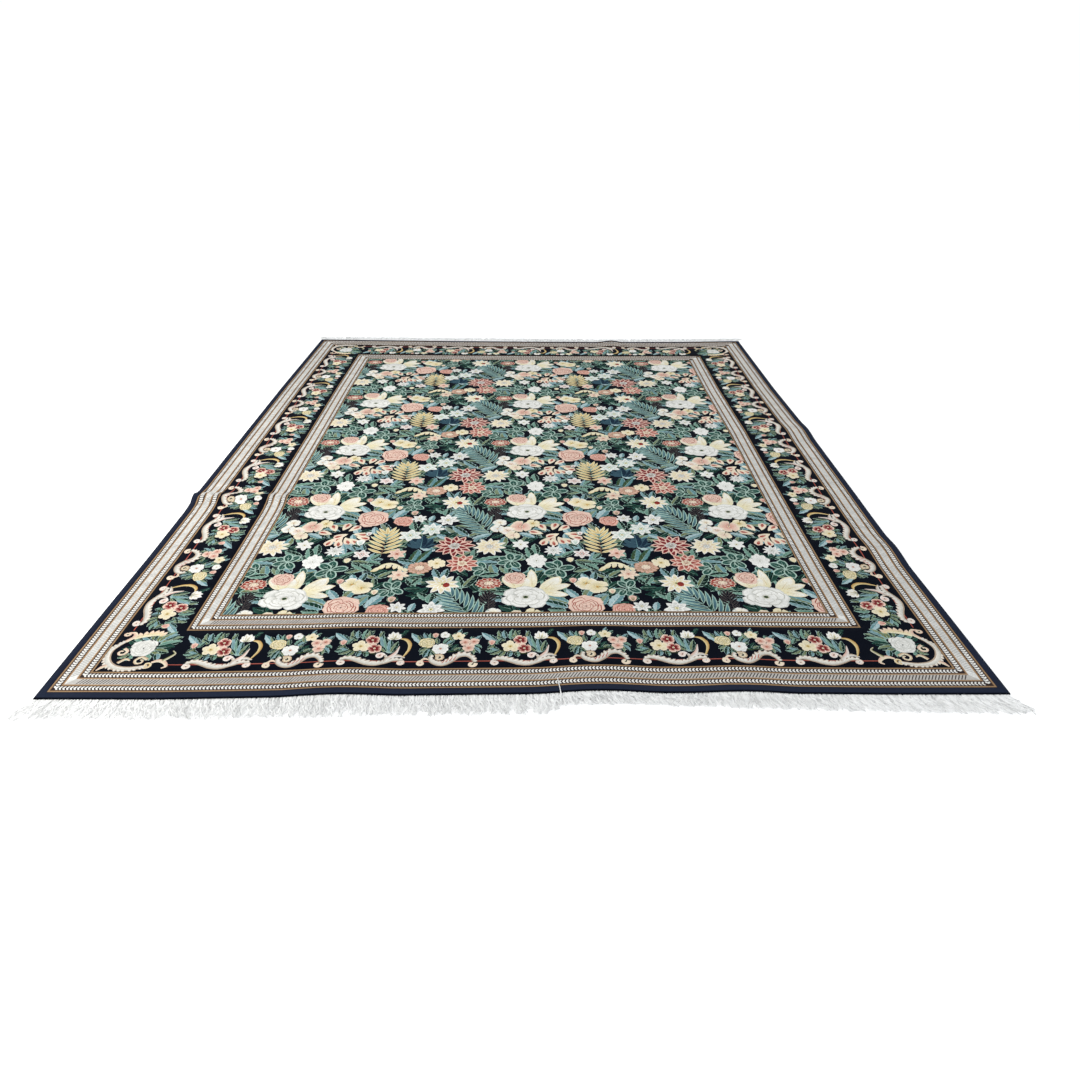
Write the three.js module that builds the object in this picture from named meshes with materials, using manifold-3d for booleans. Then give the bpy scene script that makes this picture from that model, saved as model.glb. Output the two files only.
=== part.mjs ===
// A hand-knotted wool rug lying on a floor, with the cotton fringe at both of its ends.
// Millimetres, +Z up. X runs across the rug and Y along its warps, from the floor under its middle.
import * as THREE from "three";
import { mergeVertices } from "three/addons/utils/BufferGeometryUtils.js";
import Module from "manifold-3d";

const wasm = await Module();
wasm.setup();

// Driving dimensions
const RUG_WIDTH = 2440;
const RUG_LENGTH = 3050;
const RUG_THICKNESS = 9;
const RIM_ROUNDING = 3;
const RIM_LEVEL = 0.45 * RUG_THICKNESS;
const PIECE_GAP = 0.3;
const COARSE_STEP = 175;

// The flat-woven end that the fringe grows out of
const KILIM_WIDTH = 12;
const KILIM_THICKNESS = 3.2;

// Fringe locks: each stands for a bundle of warp yarns
const LOCKS_PER_END = 148;
const LOCK_ROOT_WIDTH = 12;
const LOCK_TIP_WIDTH = 8;
const LOCK_ROOT_HEIGHT = 2.6;
const LOCK_TIP_HEIGHT = 1.8;
const LOCK_ROOT_INSET = 5;
const LOCK_SECTIONS = 4;
const LOCK_SWAY = 2;
const LENGTH_SPREAD = 0.09;
const SETTLE_SHARE = 0.6;

const NAVY = 0x141a2c;
const COTTON = 0xeceae4;

// Low ridges that the cloth keeps from having been rolled up. Each runs along one axis, and fades to nothing
// at its reach along that axis and at its spread across it.
const RIDGES = [
  { along: "x", x: -1180, y: -455, reach: 420, spread: 70, height: 10 },
  { along: "y", x: -470, y: -1525, reach: 520, spread: 170, height: 7 },
  { along: "y", x: 190, y: -1525, reach: 460, spread: 180, height: 10 },
  { along: "y", x: 560, y: -1525, reach: 380, spread: 140, height: 6 },
  { along: "x", x: 1220, y: -830, reach: 420, spread: 110, height: 8 },
  { along: "x", x: 1220, y: 180, reach: 360, spread: 120, height: 6 },
  { along: "y", x: 470, y: 1525, reach: 240, spread: 75, height: 9 },
];

// How far each selvedge stands out from a straight line, by place along the rug
const SELVEDGE_DRIFT = [
  { at: -1525, low: -2, high: 8 },
  { at: -1200, low: -4, high: 3 },
  { at: -850, low: -7, high: -4 },
  { at: -560, low: -5, high: -2 },
  { at: -440, low: 3, high: 0 },
  { at: 180, low: 6, high: 4 },
  { at: 710, low: 8, high: -6 },
  { at: 1525, low: 2, high: -5 },
];

// How far each end stands out from a straight line, by place across the rug
const END_DRIFT = [
  { at: -1220, low: 12, high: 40 },
  { at: -900, low: 14, high: 24 },
  { at: -450, low: 4, high: 4 },
  { at: 0, low: -2, high: -10 },
  { at: 450, low: -5, high: -20 },
  { at: 900, low: 3, high: -18 },
  { at: 1220, low: 4, high: -4 },
];

// Length and sideways lean of the fringe, by place across the rug
const FRONT_FRINGE = [
  { at: -1220, length: 62, lean: -44 },
  { at: -1130, length: 64, lean: -16 },
  { at: -950, length: 66, lean: 6 },
  { at: -500, length: 68, lean: -4 },
  { at: 60, length: 64, lean: 5 },
  { at: 110, length: 40, lean: 3 },
  { at: 260, length: 38, lean: 9 },
  { at: 420, length: 50, lean: -6 },
  { at: 700, length: 58, lean: 12 },
  { at: 1080, length: 62, lean: 24 },
  { at: 1220, length: 58, lean: 50 },
];
const BACK_FRINGE = [
  { at: -1220, length: 60, lean: -40 },
  { at: -1050, length: 66, lean: -10 },
  { at: -300, length: 70, lean: 5 },
  { at: 420, length: 62, lean: -6 },
  { at: 900, length: 68, lean: 10 },
  { at: 1220, length: 60, lean: 42 },
];

// A table's column at a place, on straight lines between its rows.
function read(table, column, at) {
  const after = table.findIndex((row) => row.at >= at);
  if (after === 0) return table[0][column];
  if (after < 0) return table[table.length - 1][column];
  const [a, b] = [table[after - 1], table[after]];
  return THREE.MathUtils.mapLinear(at, a.at, b.at, a[column], b[column]);
}

// 1 in the middle, falling smoothly to 0 at 1 and beyond.
function swell(t) {
  return Math.abs(t) < 1 ? (1 - t * t) ** 2 : 0;
}

// How high the underside of the cloth is off the floor.
function lift(x, y) {
  return RIDGES.reduce((sum, ridge) => {
    const across = ridge.along === "x" ? y - ridge.y : x - ridge.x;
    const down = ridge.along === "x" ? x - ridge.x : y - ridge.y;
    return sum + ridge.height * swell(across / ridge.spread) * swell(down / ridge.reach);
  }, 0);
}

// A point of the straight-sided rug, moved with the drift of the edges on both sides of it.
function drifted(x, y) {
  const across = x / RUG_WIDTH + 0.5;
  const along = y / RUG_LENGTH + 0.5;
  return {
    x: x + THREE.MathUtils.lerp(-read(SELVEDGE_DRIFT, "low", y), read(SELVEDGE_DRIFT, "high", y), across),
    y: y + THREE.MathUtils.lerp(-read(END_DRIFT, "low", x), read(END_DRIFT, "high", x), along),
  };
}

// Grid lines along one axis: closer where a ridge rises, and never further apart than the coarse step.
function gridLines(axis, half) {
  const acrossSteps = [-1, -0.62, -0.3, 0, 0.3, 0.62, 1];
  const alongSteps = [-1, -0.5, 0, 0.5, 1];
  const marks = [-half, half];
  for (const ridge of RIDGES) {
    const steps = ridge.along === axis ? alongSteps : acrossSteps;
    const size = ridge.along === axis ? ridge.reach : ridge.spread;
    marks.push(...steps.map((step) => ridge[axis] + step * size));
  }
  const nearest = COARSE_STEP / 7;
  const inside = marks.filter((m) => Math.abs(m) < half - nearest).sort((a, b) => a - b);
  const lines = [-half];
  for (const mark of [...inside, half]) {
    const last = lines[lines.length - 1];
    if (mark - last < nearest && mark !== half) continue;
    const parts = Math.ceil((mark - last) / COARSE_STEP);
    for (let i = 1; i <= parts; i += 1) lines.push(last + ((mark - last) * i) / parts);
  }
  return lines;
}

const LINES_ACROSS = gridLines("x", RUG_WIDTH / 2);
const LINES_ALONG = gridLines("y", RUG_LENGTH / 2);

// A unit box with grid lines on it, each of whose points is put in place by its line numbers.
function gridBox(countX, countY, countZ, place) {
  const box = new THREE.BoxGeometry(1, 1, 1, countX, countY, countZ);
  box.deleteAttribute("normal");
  box.deleteAttribute("uv");
  const points = box.getAttribute("position");
  const line = (value, count) => Math.round((value + 0.5) * count);
  for (let n = 0; n < points.count; n += 1) {
    const p = place(
      line(points.getX(n), countX),
      line(points.getY(n), countY),
      line(points.getZ(n), countZ),
    );
    points.setXYZ(n, p.x, p.y, p.z);
  }
  return mergeVertices(box);
}

// The knotted body: one sheet whose rim is rounded over at the top and tucked in below.
function rugBody() {
  const levels = [
    { z: 0, inset: RIM_ROUNDING / 2 },
    { z: RIM_LEVEL, inset: 0 },
    { z: RUG_THICKNESS, inset: RIM_ROUNDING },
  ];
  const lastX = LINES_ACROSS.length - 1;
  const lastY = LINES_ALONG.length - 1;
  const side = (line, last) => (line === 0 ? 1 : line === last ? -1 : 0);
  return gridBox(lastX, lastY, levels.length - 1, (i, j, k) => {
    const [x, y] = [LINES_ACROSS[i], LINES_ALONG[j]];
    const level = levels[k];
    const at = drifted(x, y);
    return {
      x: at.x + side(i, lastX) * level.inset,
      y: at.y + side(j, lastY) * level.inset,
      z: lift(x, y) + level.z,
    };
  });
}

// A number from 0 to 1 that looks random and is always the same for the same place in a row.
function scatter(index, salt) {
  const wave = Math.sin(index * 127.1 + salt * 311.7) * 43758.5453;
  return wave - Math.floor(wave);
}

// The flat-woven end strip, along the rug's edge at side -1 (front) or 1 (back).
function kilimStrip(side) {
  const edge = (side * RUG_LENGTH) / 2;
  return gridBox(LINES_ACROSS.length - 1, 1, 1, (i, j, k) => {
    const x = LINES_ACROSS[i];
    const at = drifted(x, edge);
    const out = side < 0 ? 1 - j : j;
    return {
      x: at.x,
      y: at.y + side * (PIECE_GAP + out * KILIM_WIDTH),
      z: lift(x, edge) + k * KILIM_THICKNESS,
    };
  });
}

// One lock: a tapered three-sided bar with a flat underside, from inside the strip down to the floor.
function fringeLock(side, index, table) {
  const pitch = (RUG_WIDTH - LOCK_ROOT_WIDTH) / (LOCKS_PER_END - 1);
  const x = -RUG_WIDTH / 2 + LOCK_ROOT_WIDTH / 2 + index * pitch;
  const edge = (side * RUG_LENGTH) / 2;
  const root = drifted(x, edge);
  const length = read(table, "length", x) * (1 + LENGTH_SPREAD * (2 * scatter(index, 1 + side) - 1));
  const lean = read(table, "lean", x);
  const sway = LOCK_SWAY * (2 * scatter(index, 4 + side) - 1);
  const start = PIECE_GAP + KILIM_WIDTH - LOCK_ROOT_INSET;
  const points = [];
  for (let n = 0; n < LOCK_SECTIONS; n += 1) {
    const t = n / (LOCK_SECTIONS - 1);
    const half = THREE.MathUtils.lerp(LOCK_ROOT_WIDTH, LOCK_TIP_WIDTH, t) / 2;
    const height = THREE.MathUtils.lerp(LOCK_ROOT_HEIGHT, LOCK_TIP_HEIGHT, t);
    const base = lift(x, edge) * (1 - THREE.MathUtils.smoothstep(t, 0, SETTLE_SHARE));
    const middle = root.x + lean * t ** 1.5 + sway * Math.sin(Math.PI * t);
    const y = root.y + side * (start + (length + LOCK_ROOT_INSET) * t);
    points.push([middle - half, y, base], [middle + half, y, base], [middle, y, base + height]);
  }
  const faces = [];
  for (let n = 0; n + 1 < LOCK_SECTIONS; n += 1) {
    for (let c = 0; c < 3; c += 1) {
      const [a, b] = [3 * n + c, 3 * n + ((c + 1) % 3)];
      faces.push([a, a + 3, b], [b, a + 3, b + 3]);
    }
  }
  const tip = 3 * (LOCK_SECTIONS - 1);
  faces.push([0, 1, 2], [tip, tip + 2, tip + 1]);
  const outward = side < 0 ? faces.map(([a, b, c]) => [a, c, b]) : faces;
  const lock = new THREE.BufferGeometry();
  lock.setAttribute("position", new THREE.Float32BufferAttribute(points.flat(), 3));
  lock.setIndex(outward.flat());
  return lock;
}

// A closed geometry as a solid that can be joined.
function solid(geometry) {
  return new wasm.Manifold(
    new wasm.Mesh({
      numProp: 3,
      vertProperties: geometry.getAttribute("position").array,
      triVerts: new Uint32Array(geometry.index.array),
    }),
  );
}

// A joined solid as a geometry again.
function geometryOf(made) {
  const mesh = made.getMesh();
  const geometry = new THREE.BufferGeometry();
  geometry.setAttribute("position", new THREE.BufferAttribute(mesh.vertProperties, mesh.numProp));
  geometry.setIndex(new THREE.BufferAttribute(mesh.triVerts, 1));
  return geometry;
}

// A whole end: the strip with all its locks fused to it by their roots.
function fringeEnd(side, table) {
  let made = solid(kilimStrip(side));
  for (let index = 0; index < LOCKS_PER_END; index += 1) {
    made = made.add(solid(fringeLock(side, index, table)));
  }
  return geometryOf(made);
}

const wool = new THREE.MeshStandardMaterial({ color: NAVY, roughness: 0.95, metalness: 0 });
const cotton = new THREE.MeshStandardMaterial({ color: COTTON, roughness: 0.9, metalness: 0 });

function piece(name, geometry, material) {
  geometry.computeVertexNormals();
  const mesh = new THREE.Mesh(geometry, material);
  mesh.name = name;
  return mesh;
}

const rug = new THREE.Group();
rug.add(piece("rug_body", rugBody(), wool));
rug.add(piece("fringe_front", fringeEnd(-1, FRONT_FRINGE), cotton));
rug.add(piece("fringe_back", fringeEnd(1, BACK_FRINGE), cotton));

export default rug;
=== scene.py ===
"""Looks of a hand-knotted floral rug with a cotton fringe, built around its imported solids.

The pattern is drawn in millimetres on the straight-sided rug: x across it, y along it, from its middle.
Meshes are in metres, in the frame of the solids.
"""

import math
import random
from collections import namedtuple

import bpy
import numpy as np
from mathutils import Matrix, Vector
from mathutils.geometry import delaunay_2d_cdt


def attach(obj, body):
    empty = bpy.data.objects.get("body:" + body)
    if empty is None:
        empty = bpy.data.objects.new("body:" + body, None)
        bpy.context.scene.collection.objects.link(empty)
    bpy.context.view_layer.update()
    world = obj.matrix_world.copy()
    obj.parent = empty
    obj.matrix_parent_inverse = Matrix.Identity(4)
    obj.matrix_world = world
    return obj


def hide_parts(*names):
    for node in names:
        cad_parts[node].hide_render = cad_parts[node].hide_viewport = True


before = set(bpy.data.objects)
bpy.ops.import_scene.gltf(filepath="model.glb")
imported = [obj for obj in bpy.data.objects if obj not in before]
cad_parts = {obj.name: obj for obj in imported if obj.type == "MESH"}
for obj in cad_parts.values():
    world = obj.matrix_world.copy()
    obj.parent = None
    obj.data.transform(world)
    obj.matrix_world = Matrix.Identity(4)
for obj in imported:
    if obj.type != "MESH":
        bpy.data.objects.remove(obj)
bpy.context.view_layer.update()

# Sizes of the rug, in millimetres
MM = 0.001
WIDTH = 2440
LENGTH = 3050
PILE_TOP = 9
PILE_FOOT = 3.4
PILE_ROUGHNESS = 0.3
PILE_SEED = 3
KILIM_WIDTH = 12
PIECE_GAP = 0.3
FIELD_PIECES = 3

# Rims of the pile and of the woven back, from the top down: how far out they run, and how high
RIM = [(-3, PILE_TOP), (-0.9, 8.2), (0, 6), (-0.5, PILE_FOOT)]
BACK_RIM = [(0, PILE_FOOT - PIECE_GAP), (0.6, 1.5), (0, 0)]
BACK_INSET = 1.5

# Steps between points: over flat pieces, so that they follow ripples, and along the edges of the rims
GRID_STEP = 45
RIM_STEP = 20
BACK_STEP = 30

# Where each band of the border ends, in from the rug's edge
EDGE_BAND = 22
OUTER_GUARD = 101
MAIN_BORDER = 275
INNER_GUARD = 350

# The field's repeat, and the first white peony in its front left corner
CELL_WIDTH = 716
CELL_LENGTH = 535
FIRST_PEONY = (-714, -1096)

# The border's repeat: bouquets of two kinds by turns
BOUQUETS_ACROSS = 9
BOUQUETS_ALONG = 11
PITCH_ACROSS = 202
PITCH_ALONG = 226

# Low creases: which way one runs, where it is highest, how far and how wide it reaches, and how high it is
Ridge = namedtuple("Ridge", "along x y reach spread height")
RIDGES = [
    Ridge("x", -1180, -455, 640, 50, 13),
    Ridge("y", -470, -1525, 520, 170, 7),
    Ridge("y", 190, -1525, 460, 180, 10),
    Ridge("y", 560, -1525, 380, 140, 6),
    Ridge("x", 1220, -830, 420, 110, 8),
    Ridge("x", 1220, 180, 360, 120, 6),
    Ridge("y", 470, 1525, 240, 75, 9),
]

# How far the edges stand out from straight lines: at a place, on its low side and on its high side
SELVEDGE_DRIFT = np.array([
    (-1525, -2, 8), (-1200, -4, 3), (-850, -7, -4), (-560, -5, -2),
    (-440, 3, 0), (180, 6, 4), (710, 8, -6), (1525, 2, -5),
])
END_DRIFT = np.array([
    (-1220, 12, 40), (-900, 14, 24), (-450, 4, 4), (0, -2, -10),
    (450, -5, -20), (900, 3, -18), (1220, 4, -4),
])


def tone(red, green, blue):
    """A colour given as screen values up to 255, as linear light."""
    screen = np.array([red, green, blue]) / 255
    return np.where(screen <= 0.04045, screen / 12.92, ((screen + 0.055) / 1.055) ** 2.4)


# Colours of the wool and the cotton

NAVY = tone(10, 15, 26)
WHITE = tone(248, 247, 242)
PEARL = tone(222, 222, 216)
SMOKE = tone(176, 178, 172)
LINEN = tone(204, 203, 194)
CREAM = tone(244, 234, 206)
BUTTER = tone(240, 230, 188)
STRAW = tone(232, 214, 160)
OCHRE = tone(214, 182, 122)
GOLD = tone(190, 146, 80)
PEACH = tone(242, 216, 198)
BISQUE = tone(222, 180, 162)
BLUSH = tone(238, 200, 184)
SALMON = tone(220, 160, 144)
ROSE = tone(192, 112, 98)
BRICK = tone(160, 66, 54)
WINE = tone(126, 42, 46)
TAN = tone(182, 146, 114)
BROWN = tone(112, 84, 66)
DUN = tone(186, 166, 146)
CORD = tone(164, 134, 100)
UMBER = tone(58, 48, 46)
IVORY = tone(240, 238, 232)
VELLUM = tone(243, 237, 226)
COTTON = tone(250, 250, 249)
GREIGE = tone(236, 236, 232)
# Stone is the guard's ground at the ends, painted darker as painted shade; flint is its hatch along the
# sides, painted lighter as painted sheen
SHADED_STONE = tone(202, 198, 192)
SHEENED_FLINT = tone(172, 170, 165)
ASH = tone(86, 79, 77)
REED = tone(176, 202, 190)
# navy painted lighter for the plain edge band: painted sheen of the pile
SHEENED_NAVY = tone(36, 43, 61)
SAGE = tone(168, 198, 184)
MIST = tone(176, 202, 206)
FJORD = tone(104, 146, 152)
TEAL = tone(54, 98, 89)
JADE = tone(100, 144, 128)
PINE = tone(25, 55, 43)
FIR = tone(16, 38, 33)
MOSS = tone(66, 80, 42)
OLIVE = tone(110, 114, 62)
SLATE = tone(58, 86, 100)
INK = tone(26, 46, 64)


# The cloth's form

def swell(t):
    """1 in the middle, falling smoothly to 0 at 1 and beyond."""
    return np.where(np.abs(t) < 1, (1 - t * t) ** 2, 0)


def lift(x, y):
    """How high the underside of the cloth is off the floor."""
    high = np.zeros_like(x, float)
    for ridge in RIDGES:
        across, down = (y - ridge.y, x - ridge.x) if ridge.along == "x" else (x - ridge.x, y - ridge.y)
        high += ridge.height * swell(across / ridge.spread) * swell(down / ridge.reach)
    return high


def drifted(x, y):
    """Points of the straight-sided rug, moved with the uneven edges on both sides of them."""
    across = x / WIDTH + 0.5
    along = y / LENGTH + 0.5
    left, right = (np.interp(y, SELVEDGE_DRIFT[:, 0], SELVEDGE_DRIFT[:, k]) for k in (1, 2))
    front, back = (np.interp(x, END_DRIFT[:, 0], END_DRIFT[:, k]) for k in (1, 2))
    return x - left * (1 - across) + right * across, y - front * (1 - along) + back * along


def on_cloth(flat, height):
    """Flat points at a height over the cloth's underside, as places in metres."""
    x, y = drifted(flat[:, 0], flat[:, 1])
    z = lift(flat[:, 0], flat[:, 1]) + height
    return np.stack([x, y, z], 1) * MM


# Patches: outlines with a colour that runs from near, at the start point, to far, at the end point

Patch = namedtuple("Patch", "outline near far start end")


def patch(outline, near, far=None, start=(0, 0), end=(0, 1)):
    far = near if far is None else far
    return Patch(np.asarray(outline, float), near, far, np.array(start, float), np.array(end, float))


def mapped(patches, matrix, place=(0, 0)):
    """Patches turned, sized or mirrored by a matrix, then moved."""
    matrix = np.asarray(matrix, float)
    place = np.asarray(place, float)
    return [
        Patch(p.outline @ matrix + place, p.near, p.far, p.start @ matrix + place, p.end @ matrix + place)
        for p in patches
    ]


def laid(patches, x=0.0, y=0.0, turn=0.0):
    """Patches turned to the left by so many degrees, then moved."""
    c = math.cos(math.radians(turn))
    s = math.sin(math.radians(turn))
    return mapped(patches, [[c, s], [-s, c]], (x, y))


def squashed(patches, share):
    """Patches made lower, as a flower seen from the side is."""
    return mapped(patches, [[1, 0], [0, share]])


def bent(patches, length, bend):
    """Patches along +Y, bent to the right over their length by so many degrees."""
    if not bend:
        return patches
    radius = length / math.radians(bend)

    def curve(points):
        angle = points[..., 1] / radius
        out = radius - points[..., 0]
        return np.stack([radius - out * np.cos(angle), out * np.sin(angle)], -1)

    return [Patch(curve(p.outline), p.near, p.far, curve(p.start), curve(p.end)) for p in patches]


# Forms of petals: how they widen from the base and how they close at the tip
ROUND = (0.6, 0.26)
SHARP = (0.65, 0.85)
SPOON = (1.2, 0.4)
CUPPED = (0.75, 0.4)
BLADE = (0.6, 0.72)
PANSY = (0.8, 0.3)
LILY = (0.5, 0.6)
STAR = (0.6, 0.6)
LEAFLET = (0.55, 0.5)
SKIRT = (0.9, 0.4)
THROAT = (0.9, 0.6)


def half_widths(rise, width, form):
    """Half the width of a petal at each share of its length."""
    base, tip = form
    shape = rise ** base * (1 - rise) ** tip
    peak = base / (base + tip)
    return width / 2 * shape / (peak ** base * (1 - peak) ** tip)


def petal(length, width, form, steps=4):
    """A petal's outline, from the origin along +Y."""
    rise = np.arange(1, steps + 1) / (steps + 1)
    half = half_widths(rise, width, form)
    right = np.stack([half, rise * length], 1)
    left = np.stack([-half, rise * length], 1)[::-1]
    return np.concatenate([[(0, 0)], right, [(0, length)], left])


PETAL_PHASE = 2.4  # radians from petal to petal in the run of their uneven lengths


def bloom(count, radius, width, form, rim, near, far, hub=0.18, inset=0.7, turn=0, steps=4,
          shade=(0.08, 0.8), ragged=0.07, tip=0.9):
    """A ring of petals of uneven length, each with a rim and a middle shaded between two shares of it."""
    made = []
    for k in range(count):
        uneven = ragged * math.sin(PETAL_PHASE * k + radius)
        angle = turn + 360 * (k + uneven) / count
        length = radius * (1 - hub) * (1 + uneven)
        middle = petal(length * tip, width * inset, form, steps)
        one = [
            patch(petal(length, width, form, steps), rim),
            patch(middle, near, far, (0, length * shade[0]), (0, length * shade[1])),
        ]
        out = hub * radius
        made += laid(one, -out * math.sin(math.radians(angle)), out * math.cos(math.radians(angle)), angle)
    return made


def disc(radius, near, far=None, corners=8):
    """A flat round, shaded from its lower to its upper side."""
    angles = np.arange(corners) * 2 * math.pi / corners
    outline = np.stack([radius * np.cos(angles), radius * np.sin(angles)], 1)
    return [patch(outline, near, far, (0, -radius), (0, radius))]


def dots(count, ring, radius, colour, turn=0):
    """A ring of small diamonds."""
    made = []
    for k in range(count):
        angle = math.radians(turn + 360 * k / count)
        made += laid(disc(radius, colour, corners=4), ring * math.cos(angle), ring * math.sin(angle), 45)
    return made


def smooth_route(route, steps):
    """A curve through the points of a route."""
    route = np.asarray(route, float)
    padded = np.concatenate([[2 * route[0] - route[1]], route, [2 * route[-1] - route[-2]]])
    path = []
    for k in range(len(route) - 1):
        a, b, c, d = padded[k:k + 4]
        for t in np.arange(steps) / steps:
            path.append(0.5 * (2 * b + (c - a) * t + (2 * a - 5 * b + 4 * c - d) * t ** 2
                               + (3 * b - a - 3 * c + d) * t ** 3))
    return np.array(path + [route[-1]])


def stroke(route, widths, near, far=None, steps=4):
    """A ribbon along a smooth route: a chain of four-sided patches, shaded from right to left."""
    path = smooth_route(route, steps)
    wide = np.interp(np.linspace(0, 1, len(path)), np.linspace(0, 1, len(widths)), widths) / 2
    ahead = np.gradient(path, axis=0)
    ahead /= np.linalg.norm(ahead, axis=1)[:, None]
    side = np.stack([-ahead[:, 1], ahead[:, 0]], 1) * wide[:, None]
    left, right = path + side, path - side
    return [
        patch([right[k], right[k + 1], left[k + 1], left[k]], near, far, right[k], left[k])
        for k in range(len(path) - 1)
    ]


# Leaves: tones are the rim, the left half, the right half and the rib

SEA = (SAGE, JADE, FIR, SAGE)
FOREST = (TEAL, PINE, FIR, SAGE)
GRASS = (SAGE, OLIVE, FIR, SAGE)
OLIVES = (MIST, OLIVE, FIR, SAGE)
SPLIT = (SAGE, OLIVE, FJORD, MIST)
SKY = (MIST, FJORD, PINE, MIST)
PALE = (MIST, MIST, FJORD, PEARL)
DEEP = (SLATE, SLATE, INK, FJORD)
PLAIN = (REED, TEAL, PINE, REED)
DUSK = (TEAL, MOSS, FJORD, SAGE)
TOOTH_DEPTH = 0.8  # width of a toothed edge between its teeth, as a share
LEAF_MIDDLE = 0.8  # width inside the rim, as a share
VEIN_REACH = 0.64  # width that the veins reach over, as a share


def leaf(length, width, tones, bend=0, teeth=4, veins=3):
    """A toothed leaf from the origin along +Y, with two halves, a rib and veins."""
    rim, left_tone, right_tone, rib = tones
    edge = petal(length, width, BLADE, 2 * teeth)
    edge[2:2 * teeth + 1:2, 0] *= TOOTH_DEPTH
    edge[2 * teeth + 2::2, 0] *= TOOTH_DEPTH
    rise = np.array([0.18, 0.42, 0.66, 0.86])
    half = half_widths(rise, width * LEAF_MIDDLE, BLADE)
    base, tip = (0, length * 0.03), (0, length * 0.95)
    right = np.concatenate([[base], np.stack([half, rise * length], 1), [tip]])
    made = [
        patch(edge, rim),
        patch(right, right_tone),
        patch(right * (-1, 1), left_tone, rim, base, (0, length * 2)),
    ]
    thick = 0.022 * length + 0.6
    for k in range(veins):
        low = (k + 0.7) / (veins + 1) * 0.85
        for side in (-1, 1):
            reach = side * half_widths(np.array([low + 0.12]), width * VEIN_REACH, BLADE)[0]
            vein = [(0, low * length), (reach, (low + 0.15) * length), (0, low * length + thick)]
            made.append(patch(vein, rim if side > 0 else right_tone))
    made.append(patch([(-width * 0.035, 0), (width * 0.035, 0), (0, length * 0.9)], rib))
    return bent(made, length, bend)


def between(base, tip):
    """How long it is from a base to a tip, and how far to the left of +Y it points."""
    run = np.asarray(tip, float) - np.asarray(base, float)
    return float(np.linalg.norm(run)), math.degrees(math.atan2(-run[0], run[1]))


def leaflet(length, width, tones):
    """A broad smooth leaf with a pale rim and a rib."""
    rim, left_tone, right_tone, rib = tones
    inner = petal(length * 0.86, width * 0.72, LEAFLET, 5) + (0, length * 0.06)
    return [
        patch(petal(length, width, LEAFLET, 5), rim),
        patch(inner, right_tone, left_tone, (0, 0), (0, length)),
        patch([(-1.3, length * 0.05), (1.3, length * 0.05), (0, length * 0.84)], rib),
        patch([(0, length * 0.3), (width * 0.24, length * 0.5), (0, length * 0.36)], rib),
        patch([(0, length * 0.36), (-width * 0.24, length * 0.56), (0, length * 0.42)], rib),
    ]


def fern(length, pairs, reach, wide, tones, bend=0, splay=58, close=22):
    """A stem with pairs of slim blades, longest in the middle, that close towards its tip."""
    rim, light, dark, rib = tones
    made = [patch([(-1.8, 0), (1.8, 0), (0, length)], rib)]
    for k in range(pairs):
        share = (k + 0.5) / pairs
        blade = reach * (0.5 + 0.5 * math.sin(math.pi * (0.15 + 0.75 * share)))
        middle = petal(blade * 0.9, wide * 0.6, SHARP, 3) + (0, blade * 0.03)
        one = [patch(petal(blade, wide, SHARP, 4), rim), patch(middle, dark, light, (0, 0), (0, blade))]
        for side in (-1, 1):
            turn = side * (splay - close * share)
            made += laid(bent(one, blade, 18 * side), 0, share * length * 0.94, turn)
    tip = petal(reach * 0.6, wide, SHARP, 4)
    top = [patch(tip, rim), patch(tip * (0.6, 0.88), dark, light, (0, 0), (0, reach * 0.6))]
    made += laid(top, 0, length * 0.9)
    return bent(made, length, bend)


# Flowers: each is drawn about the origin with its radius given

def peony(r):
    made = bloom(7, r, r * 0.74, CUPPED, PEARL, SMOKE, WHITE, 0.2, 0.95, 8, 6, (0.25, 0.7), 0.12)
    made += bloom(6, r * 0.76, r * 0.6, CUPPED, LINEN, LINEN, WHITE, 0.2, 0.94, 34, 5, (0.25, 0.6), 0.14)
    made += bloom(5, r * 0.5, r * 0.46, CUPPED, LINEN, PEARL, WHITE, 0.2, 0.92, 50, 4, (0.2, 0.6), 0.14)
    made += bloom(4, r * 0.3, r * 0.3, ROUND, WHITE, SMOKE, WHITE, 0.2, 0.84, 10, 4, (0.1, 0.6))
    return made + laid(disc(r * 0.1, MOSS, PINE) + dots(6, r * 0.12, r * 0.03, BUTTER), 0, -r * 0.02)


def rose(r, light, mid, dark):
    made = bloom(7, r, r * 0.84, ROUND, mid, mid, light, 0.14, 0.92, 0, 4, (0.6, 0.9), 0.1, 0.94)
    for count, size, width, hub, inset, turn, start, tip in (
        (5, 0.8, 0.76, 0.14, 0.92, 25, 0.5, 0.93),
        (4, 0.6, 0.66, 0.14, 0.91, 50, 0.4, 0.915),
        (4, 0.42, 0.46, 0.1, 0.89, 80, 0.3, 0.9),
    ):
        made += bloom(count, r * size, r * width, CUPPED, dark, mid, light, hub, inset, turn,
                      shade=(start, 0.85), ragged=0.16, tip=tip)
    return made + bloom(3, r * 0.25, r * 0.28, ROUND, dark, mid, light, 0.1, 0.86, 20)


def daisy(r, count, rim, near, far, heart, form=SHARP, fullness=0.86, eye=OLIVE):
    width = 2 * math.pi * r / count * fullness * 0.62
    made = bloom(count, r, width, form, rim, near, far, 0.16, 0.66)
    made += bloom(count, r * 0.62, width * 0.7, form, rim, near, far, 0.16, 0.6, 180 / count)
    return made + disc(r * 0.17, heart, corners=7) + disc(r * 0.08, eye, corners=5)


def dahlia(r, count, rim, near, far, heart, centre):
    width = 2 * math.pi * r / count
    made = bloom(count, r, width * 0.72, SHARP, rim, near, far, 0.2, 0.6)
    made += bloom(count - 3, r * 0.7, width * 0.6, SHARP, rim, near, far, 0.24, 0.58, 12)
    made += bloom(9, r * 0.32, width * 0.34, SHARP, heart, centre, heart, 0.1, 0.62, 5)
    return made + disc(r * 0.1, centre, heart)


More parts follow.
